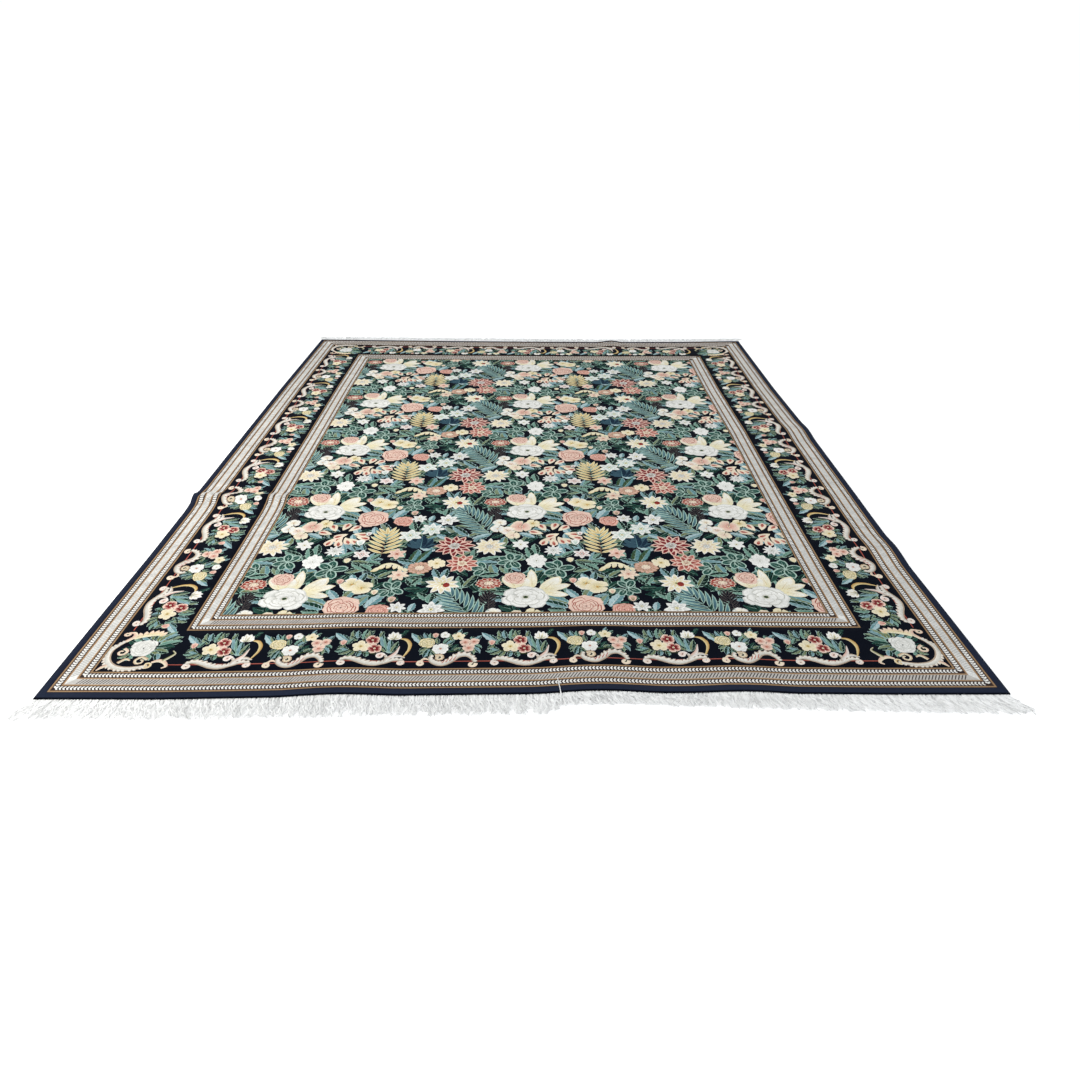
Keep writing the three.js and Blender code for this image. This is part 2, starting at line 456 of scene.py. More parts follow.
def chrysanthemum(r):
    made = bloom(11, r, r * 0.32, SHARP, WHITE, STRAW, CREAM, 0.2, 0.62)
    made += bloom(10, r * 0.76, r * 0.34, SHARP, CREAM, OCHRE, CREAM, 0.2, 0.6, 10)
    made += bloom(8, r * 0.48, r * 0.26, SHARP, CREAM, GOLD, WHITE, 0.2, 0.6, 4)
    return made + disc(r * 0.22, PEARL, SMOKE) + dots(7, r * 0.15, r * 0.04, WHITE)


def pansy_eye(r, heart):
    return disc(r * 0.17, heart, corners=6) + disc(r * 0.08, GOLD, corners=5)


def pansy(r, rim, near, far, heart):
    made = bloom(5, r, r * 0.92, PANSY, rim, near, far, 0.1, 0.86, 15, 4, (0.1, 0.62))
    return made + pansy_eye(r, heart)


def masked_pansy(r, rim, mask, heart):
    """A pansy with a dark mask round its eye."""
    made = bloom(5, r, r * 0.92, PANSY, rim, rim, rim, 0.1, 0.9, 15, 4)
    made += bloom(5, r * 0.9, r * 0.72, PANSY, BLUSH, mask, SALMON, 0.1, 0.9, 15, 4, (0.3, 0.9))
    made += bloom(5, r * 0.62, r * 0.44, SHARP, mask, mask, mask, 0.1, 0.9, 15)
    return made + pansy_eye(r, heart)


def oval_flower(r, outer, inner, heart):
    """A flat flower with a fringed rim and a pale middle."""
    made = bloom(14, r, r * 0.4, SPOON, inner, outer, outer, 0.4, 0.8, 0, 3)
    made += bloom(12, r * 0.78, r * 0.34, SPOON, outer, outer, inner, 0.3, 0.7, 8, 3)
    return made + disc(r * 0.36, heart, CREAM, 10) + dots(7, r * 0.22, r * 0.05, outer)


def bud(r, light, dark):
    """A closed flower between two small leaves."""
    made = []
    for side in (-1, 1):
        made += laid(leaf(r * 1.6, r * 0.8, GRASS, 10 * side, 2, 0), 0, -r, -30 * side)
    body = petal(r * 2, r * 1.5, ROUND, 4) - (0, r)
    heart = petal(r * 1.5, r * 0.8, ROUND, 3) - (0, r * 0.8)
    return made + [patch(body, light), patch(heart, dark, light, (0, -r), (0, r))]


def bell(r):
    """One hanging bell with a dark throat."""
    skirt = petal(r, r * 0.56, SKIRT, 5)
    throat = petal(r * 0.56, r * 0.22, THROAT, 3) + (0, r * 0.36)
    return [
        patch(skirt, CREAM, PEACH, (0, 0), (0, r)),
        patch(throat, SALMON, BRICK, (0, r * 0.3), (0, r * 0.8)),
    ]


# Charts: a place is counted in squares to the right and down, from the chart's own upper left corner

Chart = namedtuple("Chart", "across along x y")


def spot(chart, x, y):
    """A place of a chart, in millimetres right of and above its home square."""
    return (x - chart.x) * chart.across, (chart.y - y) * chart.along


def pinned(chart, x, y, patches, turn=0.0):
    """Patches turned to the left and moved to a place of a chart."""
    across, along = spot(chart, x, y)
    return laid(patches, across, along, turn)


def charted_leaves(chart, rows, teeth=4, veins=3):
    """Leaves from rows of base, tip, width in squares, tones and bend."""
    made = []
    for base_x, base_y, tip_x, tip_y, width, tones, bend in rows:
        length, turn = between(spot(chart, base_x, base_y), spot(chart, tip_x, tip_y))
        drawn = leaf(length, width * chart.across, tones, bend, teeth, veins)
        made += pinned(chart, base_x, base_y, drawn, turn + bend / 2)
    return made


def charted_strokes(chart, rows):
    """Ribbons from rows of route, widths, and the colours of the right and the left edge."""
    made = []
    for route, widths, near, far in rows:
        made += stroke([spot(chart, x, y) for x, y in route], widths, near, far, 3)
    return made


def charted_flowers(chart, rows):
    """Flowers from rows of place and drawing."""
    made = []
    for x, y, drawn in rows:
        made += pinned(chart, x, y, drawn)
    return made


# The field's repeat as a chart, with its white peony as the home square
FIELD = Chart(0.6, 0.6, 137, 775)


def field_leaves():
    """The leaves of one repeat, and its leaflets, vine leaf and fronds over them."""
    made = charted_leaves(FIELD, (
        (350, 28, 203, 42, 62, SPLIT, 6), (150, 110, 226, 192, 52, OLIVES, -10),
        (96, 140, 186, 198, 44, PALE, 10), (385, 155, 342, 45, 52, PALE, 8),
        (446, 108, 384, 150, 58, FOREST, -10), (472, 155, 460, 66, 44, PALE, -8),
        (556, 122, 488, 10, 54, OLIVES, 8), (692, 112, 668, -6, 54, SEA, 8),
        (762, 44, 716, -24, 44, SEA, 6), (985, 176, 858, 58, 84, OLIVES, -8),
        (1004, 176, 905, 58, 58, SKY, 8), (1000, 184, 1118, 122, 56, OLIVES, 10),
        (1026, 204, 1136, 146, 44, PALE, -8), (904, 206, 822, 156, 48, PALE, 8),
        (1196, 156, 1130, 196, 44, FOREST, 6), (224, 266, 292, 190, 48, PALE, 8),
        (366, 276, 350, 146, 44, PALE, -6), (92, 252, 46, 190, 42, SEA, 8),
        (114, 250, 142, 184, 42, GRASS, 6), (126, 252, 190, 196, 42, FOREST, 8),
        (196, 374, 184, 260, 54, SEA, 10), (172, 414, 138, 296, 54, SEA, -8),
        (124, 394, 14, 326, 62, SEA, 10), (134, 424, 22, 384, 60, GRASS, -8),
        (326, 404, 408, 336, 44, SEA, 8), (346, 364, 318, 260, 40, PALE, 6),
        (396, 334, 366, 272, 34, SKY, 6), (446, 330, 424, 264, 34, SKY, -6),
        (834, 334, 742, 286, 54, PALE, 8), (714, 456, 740, 320, 54, DUSK, -6),
        (746, 460, 816, 316, 54, DUSK, 6), (744, 466, 640, 426, 54, SKY, 8),
        (1050, 404, 1050, 316, 46, SEA, 8), (1036, 234, 1116, 176, 44, SKY, 8),
        (1058, 446, 1204, 396, 66, SEA, -8), (1066, 456, 1196, 464, 56, SKY, 8),
        (474, 498, 384, 548, 56, GRASS, 8), (492, 524, 400, 456, 54, SEA, -8),
        (452, 468, 520, 534, 50, SEA, 8), (468, 432, 566, 418, 52, SKY, -8),
        (498, 424, 546, 364, 44, SEA, 8), (478, 442, 560, 468, 44, SEA, 6),
        (398, 440, 494, 452, 42, GRASS, 8), (478, 594, 606, 526, 60, FOREST, 10),
        (566, 604, 644, 536, 50, GRASS, 8), (560, 604, 474, 538, 48, OLIVES, 8),
        (716, 606, 772, 686, 46, SEA, -8), (790, 600, 748, 668, 44, SEA, 8),
        (698, 592, 806, 572, 42, SEA, 8), (882, 614, 846, 514, 46, SKY, 8),
        (898, 614, 918, 514, 46, SKY, -6), (1006, 706, 982, 584, 50, SEA, 10),
        (1010, 696, 1078, 562, 54, GRASS, -20), (1152, 566, 1068, 496, 62, SEA, 8),
        (1172, 574, 1146, 472, 60, SPLIT, 8), (1192, 570, 1084, 584, 54, SEA, -8),
        (288, 664, 350, 616, 48, FOREST, 6), (456, 644, 428, 564, 46, PALE, 6),
        (480, 634, 498, 548, 44, SKY, -6), (402, 796, 342, 706, 50, PALE, 8),
        (430, 796, 472, 690, 56, SPLIT, 6), (464, 806, 552, 756, 54, SKY, -8),
        (498, 866, 548, 764, 50, SPLIT, 8), (552, 862, 628, 740, 66, PALE, 8),
        (352, 834, 240, 766, 64, SPLIT, 8), (344, 874, 226, 816, 64, SKY, -8),
        (334, 896, 244, 886, 50, SEA, 6), (556, 884, 646, 826, 46, FOREST, 8),
        (718, 702, 806, 702, 46, FOREST, 8), (862, 806, 786, 736, 50, SEA, 6),
        (850, 826, 862, 738, 50, SEA, -6), (768, 894, 786, 826, 40, PALE, 6),
        (888, 856, 976, 786, 54, PALE, -8), (878, 846, 910, 770, 46, SKY, 8),
        (1098, 766, 1206, 694, 66, SEA, 8), (1090, 720, 1190, 716, 50, GRASS, 8),
        (66, 724, -16, 688, 56, FOREST, 8), (60, 744, -26, 738, 50, SEA, 6),
        (40, 800, -40, 790, 50, SKY, 6), (66, 566, -4, 494, 56, GRASS, 8), (40, 560, 46, 486, 46, SEA, 6),
        (1110, 350, 1120, 250, 40, SEA, 8), (600, 420, 680, 400, 40, SEA, 6),
        (860, 400, 820, 470, 40, FOREST, 6), (690, 610, 640, 640, 40, FOREST, 6),
        (960, 520, 1030, 590, 44, FOREST, 8), (240, 420, 300, 380, 36, FOREST, 6),
        (560, 700, 620, 640, 44, FOREST, 8), (700, 800, 640, 760, 44, FOREST, 8),
        (940, 130, 870, 200, 44, FOREST, 6),
    ))
    # leaflets round one stalk: where it stands, where each leaflet points and how long it is
    for x, y, turns, length in (
        (306, 520, (2, 48, -78, 128, 196), 56), (60, 440, (60, 110, 165, -150, -40, 10), 50),
        (655, 698, (38, -24, 180, 232), 46), (640, 716, (100, 150), 40), (1110, 520, (20, 80, 140), 46),
        (180, 560, (100, 20), 40),
    ):
        for turn in turns:
            made += pinned(FIELD, x, y, leaflet(length, length * 0.62, PLAIN), turn)
    # the big vine leaf: lobes of it overlap
    for turn, length in ((62, 56), (-66, 56), (34, 70), (-30, 70), (0, 80)):
        made += pinned(FIELD, 750, 300, leaf(length, length * 0.56, DEEP, 0, 3, 3), turn)
    # fronds: root, how far they lean to the left, and their drawing
    for x, y, turn, drawn in (
        (1150, 900, 14, fern(90, 6, 44, 9, (ASH, NAVY, NAVY, ASH), 24)),
        (1128, 1054, 24, fern(216, 9, 88, 15, (SAGE, FJORD, SLATE, SAGE), -14, 62, 26)),
        (546, 372, -4, fern(150, 7, 78, 14, (BUTTER, STRAW, OCHRE, BROWN), -10, 72, 34)),
    ):
        made += pinned(FIELD, x, y, drawn, turn)
    return made


def field_lily():
    """Long cream petals behind the peony, and the cup that the salmon rose stands in."""
    made = []
    for base_x, base_y, tip_x, tip_y, width, bend in (
        (168, 706, 164, 524, 32, -8), (100, 700, 18, 590, 36, 14), (96, 706, 150, 600, 46, -20),
        (214, 736, 314, 592, 50, -8), (236, 724, 366, 668, 32, 14), (226, 730, 352, 764, 32, -14),
    ):
        length, turn = between(spot(FIELD, base_x, base_y), spot(FIELD, tip_x, tip_y))
        inner = petal(length * 0.92, width * 0.72, LILY, 6)
        one = [
            patch(petal(length, width, LILY, 6), CREAM),
            patch(inner, BUTTER, WHITE, (0, length * 0.1), (0, length * 0.9)),
            patch([(-0.9, length * 0.2), (0.9, length * 0.2), (0, length * 0.8)], OCHRE),
        ]
        made += pinned(FIELD, base_x, base_y, bent(one, length, bend), turn + bend / 2)
    return made


def field_flowers():
    """The flowers of one repeat, the lowest first."""
    bells = (
        (246, 118, 24), (284, 108, -16), (318, 116, -44), (232, 150, 70), (262, 160, 196), (290, 150, 168),
        (350, 148, 262), (252, 196, 160), (284, 200, 186), (314, 184, 205), (338, 196, 226), (372, 176, 250),
        (322, 148, 120),
    )
    made = charted_flowers(FIELD, [(x, y, laid(bell(52), turn=turn)) for x, y, turn in bells])
    made += charted_flowers(FIELD, (
        (1142, 655, squashed(oval_flower(42, BRICK, PEACH, PEACH), 0.74)),
        (446, 660, pansy(38, WHITE, STRAW, CREAM, OCHRE)),
        (500, 690, pansy(36, CREAM, STRAW, CREAM, OCHRE)),
        (-18, 20, pansy(25, PEARL, CREAM, WHITE, PEACH)),
        (30, 112, pansy(30, CREAM, PEACH, WHITE, PEACH)),
        (172, 30, pansy(27, BUTTER, STRAW, CREAM, OCHRE)),
        (60, 166, pansy(26, CREAM, PEACH, CREAM, PEACH)),
        (-30, 90, pansy(26, CREAM, PEARL, WHITE, PEACH)),
        (104, 66, pansy(39, CREAM, SALMON, PEACH, PEACH)),
        (432, 862, rose(57, PEACH, BLUSH, BRICK)),
        (616, 892, rose(36, BLUSH, SALMON, BRICK)),
        (704, 862, daisy(29, 7, WHITE, SMOKE, WHITE, CREAM)),
        (872, 880, daisy(40, 7, WHITE, SMOKE, WHITE, BUTTER)),
        (676, 164, daisy(42, 6, WHITE, SAGE, WHITE, CREAM)),
        (792, 96, daisy(44, 8, WHITE, SAGE, WHITE, BUTTER)),
        (1130, 290, chrysanthemum(56)),
        (935, 282, dahlia(68, 12, BLUSH, WINE, WINE, PEARL, BROWN)),
        (990, 462, dahlia(55, 10, BLUSH, WINE, ROSE, CREAM, BRICK)),
        (106, 268, daisy(32, 6, WHITE, PEARL, WHITE, CREAM)),
        (286, 332, daisy(32, 10, WHITE, SMOKE, WHITE, PEARL)),
        (410, 242, bud(19, WHITE, SAGE)),
        (440, 366, daisy(30, 6, WHITE, ROSE, WHITE, PEARL, eye=UMBER)),
        (630, 364, daisy(33, 6, PEACH, SALMON, PEACH, ROSE)),
        (193, 440, squashed(daisy(34, 9, WHITE, PEARL, WHITE, WHITE, ROUND, 1.2), 1.28)),
        (770, 506, squashed(oval_flower(41, BISQUE, TAN, PEACH), 0.9)),
        (856, 462, daisy(31, 6, CREAM, STRAW, CREAM, OCHRE, ROUND, 1.1)),
        (670, 572, daisy(34, 7, PEACH, BISQUE, CREAM, SALMON)),
        (905, 660, daisy(54, 10, WHITE, STRAW, CREAM, BUTTER, SHARP, 1.0)),
        (440, 146, bud(13, WHITE, BRICK)),
        (374, 428, bud(15, CREAM, STRAW)),
        (380, 630, bud(15, BLUSH, ROSE)),
        (572, 730, bud(14, CREAM, SALMON)),
        (668, 794, bud(16, BLUSH, OLIVE)),
        (926, 668, squashed(disc(11, BRICK, WINE, 8), 1.2)),
    ))
    # a cream crest: its petals, each shorter and turned further than the one before, and its rib
    crest = ((556, 500), (578, 474), (606, 466), (634, 476), (660, 494), (684, 516))
    for k, (x, y) in enumerate(crest):
        across, along = spot(FIELD, x, y)
        one = [patch(petal(38 - 3 * k, 17, LILY, 4), CREAM, STRAW, (0, 8), (0, 36))]
        made += laid(bent(one, 38, 50), across, along + 4, 165 + 12 * k)
    rib = ((548, 512), (570, 478), (610, 462), (656, 484), (694, 530))
    made += charted_strokes(FIELD, ((rib, (5, 10, 9, 5), CREAM, BUTTER),))
    made += field_lily()
    return made + charted_flowers(FIELD, (
        (82, 606, rose(36, PEACH, BLUSH, BRICK)),
        (137, 778, squashed(peony(73), 0.86)),
    ))


FILLER_LEAVES = 96
FILLER_SEED = 7


def filler_leaves():
    """Leaves strewn under the charted ones, so that only chinks of the ground show."""
    draw = random.Random(FILLER_SEED)
    kinds = (SEA, GRASS, FOREST, GRASS, SKY, FOREST, SPLIT)
    made = []
    for _ in range(FILLER_LEAVES):
        x = draw.uniform(0, CELL_WIDTH)
        y = draw.uniform(0, CELL_LENGTH)
        length = draw.uniform(48, 84)
        width = length * draw.uniform(0.36, 0.48)
        one = leaf(length, width, draw.choice(kinds), draw.uniform(-24, 24), 3, 2)
        made += laid(one, x, y, draw.uniform(0, 360))
    return made


# The border's bouquets, with the middle of their scroll on the border's outer line as the home square
UNIT_A = Chart(0.5, 0.53, 624, 366)
UNIT_B = Chart(0.5, 0.53, 217, 366)


def scroll(chart, route, widths, light, shade, lobes, side):
    """A leafy scroll: a ribbon with a darker edge and a row of lobes along one side."""
    path = smooth_route([spot(chart, x, y) for x, y in route], 6)
    run = np.gradient(path, axis=0)
    made = stroke(path, [w + 3 for w in widths], shade, steps=1)
    for k in range(lobes):
        at = int((k + 0.5) / lobes * (len(path) - 1))
        wide = np.interp(at / (len(path) - 1), np.linspace(0, 1, len(widths)), widths)
        turn = math.degrees(math.atan2(-run[at][0], run[at][1])) + side * 52
        lobe = petal(wide * 0.9 + 2, 7.5, ROUND, 3)
        one = [patch(lobe, light, shade, (0, wide * 0.5), (0, wide * 1.4))]
        made += laid(one, path[at][0], path[at][1], turn)
    return made + stroke(path, [w * 0.7 for w in widths], LINEN, light, 1)


def curl(chart, x, y, radius, start, turns, widths, near, far=None):
    """A ribbon that winds in to its middle, to the left if the turns are positive."""
    across, along = spot(chart, x, y)
    share = np.linspace(0, 1, 7)
    angle = math.radians(start) + share * turns * 2 * math.pi
    out = radius * (1 - 0.72 * share)
    route = np.stack([across + out * np.cos(angle), along + out * np.sin(angle)], 1)
    return stroke(route, widths, near, far, 2)


def bouquet_a():
    """Two crimson pansies, a yellow star, a white lily and a bud over a long cream scroll."""
    made = charted_leaves(UNIT_A, (
        (462, 156, 386, 78, 40, PALE, 8), (470, 150, 430, 96, 30, SKY, -8),
        (500, 130, 480, 62, 36, GRASS, 8), (520, 130, 510, 62, 36, SKY, 8),
        (548, 140, 556, 52, 40, SEA, -8), (560, 130, 600, 62, 36, GRASS, 8),
        (520, 150, 470, 110, 36, GRASS, 8), (590, 120, 572, 60, 30, GRASS, 6),
        (700, 250, 632, 62, 38, SKY, 8), (706, 252, 660, 110, 36, SEA, -6),
        (712, 250, 700, 130, 36, SKY, 6), (716, 250, 742, 150, 36, GRASS, -6),
        (690, 240, 650, 190, 32, GRASS, 8), (480, 220, 414, 236, 40, SEA, 8),
        (490, 226, 430, 200, 34, SKY, 8), (500, 230, 440, 262, 36, GRASS, 8),
        (520, 236, 484, 280, 36, GRASS, 8), (552, 236, 540, 284, 34, SKY, 8),
        (584, 240, 590, 284, 34, SEA, 8), (460, 180, 424, 216, 30, GRASS, 8),
        (760, 70, 790, 60, 24, FOREST, 8), (740, 110, 780, 70, 30, FOREST, 8),
        (640, 120, 650, 66, 30, GRASS, 8), (470, 180, 500, 130, 30, SEA, 6),
    ), 3, 2)
    stem = ((448, 176), (470, 210), (520, 240), (600, 256), (690, 262))
    made += charted_strokes(UNIT_A, ((stem, (2.4, 2.4), MOSS, MOSS),))
    route = ((456, 306), (490, 292), (540, 304), (590, 326), (640, 336), (690, 322), (740, 300), (788, 300))
    made += scroll(UNIT_A, route, (7, 12, 16, 17, 14, 12, 10, 7), VELLUM, DUN, 15, 1)
    made += curl(UNIT_A, 470, 326, 10, 120, 1.15, (10, 7), IVORY, PEACH)
    made += curl(UNIT_A, 776, 322, 9, 60, -1.1, (10, 7), IVORY, PEACH)
    made += charted_strokes(UNIT_A, ((((692, 318), (700, 288), (690, 268)), (9, 8), IVORY, DUN),))
    made += curl(UNIT_A, 664, 272, 11, 10, 1.1, (11, 8), WHITE, BLUSH)
    made += charted_strokes(UNIT_A, (
        (((696, 300), (724, 276), (758, 268), (796, 282)), (10, 13, 11, 4), IVORY, DUN),
        (((716, 282), (740, 252), (750, 222), (756, 192)), (12, 10, 6, 2), IVORY, BISQUE),
        (((750, 128), (784, 136), (808, 170), (810, 212), (798, 250), (784, 280)),
         (4, 10, 11, 8, 6, 3), STRAW, GOLD),
    ))
    # the lily's petals: which way each points and how long it is
    for turn, length in ((34, 30), (-34, 30), (62, 22), (-58, 24), (12, 36), (-12, 34)):
        one = [
            patch(petal(length, 13, (0.7, 0.55), 4), WHITE),
            patch(petal(length * 0.8, 6, SHARP, 3), OLIVE, CREAM, (0, 0), (0, length * 0.6)),
        ]
        made += pinned(UNIT_A, 716, 136, one, turn)
    return made + charted_flowers(UNIT_A, (
        (447, 164, bud(12, BLUSH, ROSE)),
        (548, 198, daisy(26, 5, CREAM, STRAW, CREAM, OCHRE, STAR, 1.0)),
        (602, 144, masked_pansy(21, PEACH, WINE, CREAM)),
        (624, 214, masked_pansy(21, PEACH, WINE, CREAM)),
    ))


def bouquet_b():
    """A yellow rose, a white daisy, three pink blossoms and buds over a brown and cream scroll."""
    made = charted_leaves(UNIT_B, (
        (64, 172, -6, 78, 40, PALE, 8), (66, 150, 30, 96, 30, GRASS, -8), (90, 130, 64, 76, 32, SKY, 8),
        (110, 150, 100, 80, 30, SEA, 8), (100, 200, 60, 260, 36, GRASS, 8),
        (110, 210, 84, 284, 36, SKY, -8), (124, 216, 110, 286, 34, SEA, 8),
        (96, 196, 52, 232, 34, GRASS, 8), (120, 230, 150, 270, 30, GRASS, 8),
        (180, 170, 216, 120, 34, SEA, 8), (200, 180, 240, 140, 34, SKY, 8),
        (190, 200, 230, 180, 32, GRASS, 8), (230, 150, 210, 90, 30, GRASS, 8),
        (250, 130, 270, 46, 32, SKY, 8), (260, 130, 306, 76, 30, SEA, 8),
        (240, 140, 236, 80, 30, GRASS, 8), (230, 220, 262, 176, 30, FOREST, 8),
        (240, 226, 282, 206, 30, GRASS, 8), (350, 150, 384, 104, 32, SKY, 8),
        (340, 140, 330, 110, 28, SEA, 8), (340, 190, 384, 252, 36, SKY, 8),
        (330, 200, 350, 262, 36, GRASS, 8), (350, 180, 392, 210, 30, SEA, 8),
        (290, 200, 276, 240, 30, GRASS, 8), (150, 170, 140, 120, 30, GRASS, 8),
        (210, 226, 240, 240, 28, FOREST, 6),
    ), 3, 2)
    stem = ((90, 200), (150, 240), (230, 236), (300, 220))
    made += charted_strokes(UNIT_B, ((stem, (2.4, 2.4), MOSS, MOSS),))
    route = (
        (128, 262), (122, 294), (146, 322), (190, 332), (230, 306),
        (268, 268), (312, 262), (344, 286), (360, 320),
    )
    made += scroll(UNIT_B, route, (6, 10, 13, 16, 18, 17, 14, 11, 7), VELLUM, DUN, 15, 1)
    made += curl(UNIT_B, 166, 284, 14, 140, -1.2, (10, 7), CREAM, TAN)
    made += curl(UNIT_B, 346, 336, 11, 20, -0.9, (11, 7), CREAM, PEACH)
    made += curl(UNIT_B, 76, 328, 10, 60, 1.15, (11, 7), CREAM, PEACH)
    made += charted_strokes(UNIT_B, ((((72, 308), (92, 292), (112, 300)), (4, 9, 4), BISQUE, CREAM),))
    for k in range(4):
        notch = ((186 + 20 * k, 328 - 8 * k), (200 + 20 * k, 306 - 12 * k))
        made += charted_strokes(UNIT_B, ((notch, (3, 2), ROSE, ROSE),))
    return made + charted_flowers(UNIT_B, (
        (130, 100, bud(11, BLUSH, ROSE)),
        (182, 98, daisy(14, 5, WHITE, PEARL, WHITE, STRAW, ROUND, 1.2)),
        (90, 162, rose(23, CREAM, STRAW, OLIVE)),
        (258, 110, daisy(19, 5, CREAM, STRAW, CREAM, OCHRE, STAR, 1.0)),
        (298, 160, pansy(16, PEACH, SALMON, PEACH, ROSE)),
        (346, 156, pansy(16, PEACH, SALMON, PEACH, ROSE)),
        (320, 208, pansy(17, PEACH, SALMON, PEACH, ROSE)),
        (168, 212, daisy(24, 7, WHITE, PEARL, WHITE, SALMON, ROUND, 1.25)),
    ))


# The border's corner, with its outer corner as the home square
CORNER = Chart(0.49, 0.49, 205, 590)


def corner_spray():
    """A white rose in a wreath of leaves, with a crest over it and scrolls along both outer sides."""
    made = charted_leaves(CORNER, (
        (440, 340, 470, 240, 54, GRASS, 8), (450, 340, 520, 244, 58, SPLIT, 8),
        (460, 350, 570, 290, 60, GRASS, -8), (460, 370, 580, 330, 56, SEA, 8),
        (456, 390, 556, 380, 52, FOREST, 8), (450, 410, 540, 430, 50, GRASS, 8),
        (440, 430, 510, 470, 50, GRASS, 8), (420, 450, 460, 500, 46, SEA, 8),
        (330, 440, 280, 480, 44, GRASS, 8), (330, 350, 280, 330, 44, FOREST, 8),
        (350, 330, 300, 300, 46, SEA, -8), (390, 320, 340, 280, 46, SKY, 8),
        (410, 320, 410, 270, 44, GRASS, 8), (320, 400, 270, 400, 44, FOREST, 8),
        (350, 450, 330, 500, 44, SEA, 8), (470, 320, 540, 270, 44, SKY, 8),
        (480, 440, 500, 500, 40, SKY, 8),
    ), 3, 2)
    ray = [patch(petal(25, 14, SHARP, 3), STRAW, PEACH, (0, 0), (0, 22))]
    crest = ((312, 296), (330, 282), (352, 272), (374, 264), (396, 260), (416, 262), (432, 270))
    for k, (x, y) in enumerate(crest):
        across, along = spot(CORNER, x, y)
        made += laid(ray, across, along - 10, 36 - 12 * k)
    rib = ((300, 312), (340, 292), (390, 278), (436, 276))
    made += charted_strokes(CORNER, ((rib, (6, 9, 9, 4), CREAM, BUTTER),))
    route = (
        (266, 330), (236, 370), (216, 416), (222, 470), (252, 524),
        (304, 558), (370, 568), (430, 556), (470, 540),
    )
    made += scroll(CORNER, route, (7, 11, 14, 16, 18, 16, 14, 11, 7), VELLUM, DUN, 20, -1)
    neck = ((262, 336), (282, 312), (296, 284), (278, 258), (252, 262))
    made += charted_strokes(CORNER, ((neck, (10, 12, 10, 6), CREAM, BISQUE),))
    made += curl(CORNER, 242, 270, 10, 60, -1.1, (8, 5), CREAM, BISQUE)
    made += curl(CORNER, 284, 430, 16, 90, -1.1, (9, 5), CREAM, BISQUE)
    made += curl(CORNER, 414, 504, 19, 20, 1.2, (9, 5), TAN, CREAM)
    made += curl(CORNER, 466, 536, 12, 250, 1.0, (8, 5), CREAM, OCHRE)
    made += charted_strokes(CORNER, (
        (((300, 520), (330, 486), (358, 500)), (10, 9, 4), CREAM, TAN),
        (((214, 582), (232, 556), (254, 540)), (3, 11, 9), CREAM, BISQUE),
        (((480, 516), (512, 500), (548, 512), (572, 544), (552, 562)), (7, 12, 12, 8, 4), CREAM, BISQUE),
        (((536, 502), (562, 470), (580, 440), (560, 416)), (10, 9, 6, 3), CREAM, OLIVE),
    ))
    return made + charted_flowers(CORNER, ((386, 392, rose(37, WHITE, PEARL, LINEN)),))


# Flat mosaics: patches cut into one sheet of triangles, later ones on top

Sheet = namedtuple("Sheet", "points triangles tints")
WELD = 0.002  # points this close are one
SLACK = 0.12  # how far a line may move when a point of it is left out
ON_EDGE = 0.01  # how far off a line a point may be and still count as on it
BIN = 24.0  # squares that points are sorted into


def stepped(corners, step):
    """An outline with more points along its long sides."""
    points = []
    for a, b in zip(corners, np.roll(corners, -1, axis=0)):
        parts = max(1, round(float(np.linalg.norm(b - a)) / step))
        points += [a + (b - a) * k / parts for k in range(parts)]
    return np.array(points)


def rectangle(low_x, low_y, high_x, high_y, step=GRID_STEP):
    """A rectangle's outline with points along its sides."""
    corners = np.array([(low_x, low_y), (high_x, low_y), (high_x, high_y), (low_x, high_y)], float)
    return stepped(corners, step)


def within(points, outline):
    """Which points lie inside a rectangle's outline."""
    return ((points > outline.min(0)) & (points < outline.max(0))).all(1)


def on_edge(points, outline):
    """Which points lie on the lines of a rectangle's sides."""
    low, high = outline.min(0), outline.max(0)
    return ((np.abs(points - low) < ON_EDGE) | (np.abs(points - high) < ON_EDGE)).any(1)


def holds(ring, points):
    """Which points lie inside a closed outline."""
    a, b = ring, np.roll(ring, -1, axis=0)
    x, y = points[:, :1], points[:, 1:]
    rise = b[:, 1] - a[:, 1]
    slope = (b[:, 0] - a[:, 0]) / np.where(rise == 0, 1, rise)
    crossed = ((a[:, 1] > y) != (b[:, 1] > y)) & (x < a[:, 0] + (y - a[:, 1]) * slope)
    return crossed.sum(1) % 2 == 1


def topmost(points, rings):
    """The number of the last outline that holds each point."""
    low = points.min(0)
    bins = ((points - low) // BIN).astype(int)
    columns, rows = bins.max(0) + 1
    keys = bins[:, 0] * rows + bins[:, 1]
    order = np.argsort(keys, kind="stable")
    starts = np.searchsorted(keys[order], np.arange(columns * rows + 1))
    found = np.zeros(len(points), int)
    for number, ring in enumerate(rings):
        first = np.maximum((ring.min(0) - low) // BIN, 0).astype(int)
        last = np.minimum((ring.max(0) - low) // BIN, (columns - 1, rows - 1)).astype(int)
        if (last < first).any():
            continue
        held = np.concatenate([
            order[starts[c * rows + first[1]]:starts[c * rows + last[1] + 1]]
            for c in range(first[0], last[0] + 1)
        ])
        found[held[holds(ring, points[held])]] = number
    return found


def triangulated(points, edges, outline, hole):
    """Triangles between the points that keep all the edges, inside an outline and outside a hole."""
    coords = [Vector(q) for q in points.tolist()]
    places, _, faces, _, _, _ = delaunay_2d_cdt(coords, edges.tolist(), [], 0, WELD, False)
    points = np.array([tuple(p) for p in places])
    triangles = np.array(faces)
    middles = points[triangles].mean(1)
    kept = within(middles, outline)
    if hole is not None:
        kept &= ~within(middles, hole)
    return points, triangles[kept], middles[kept]


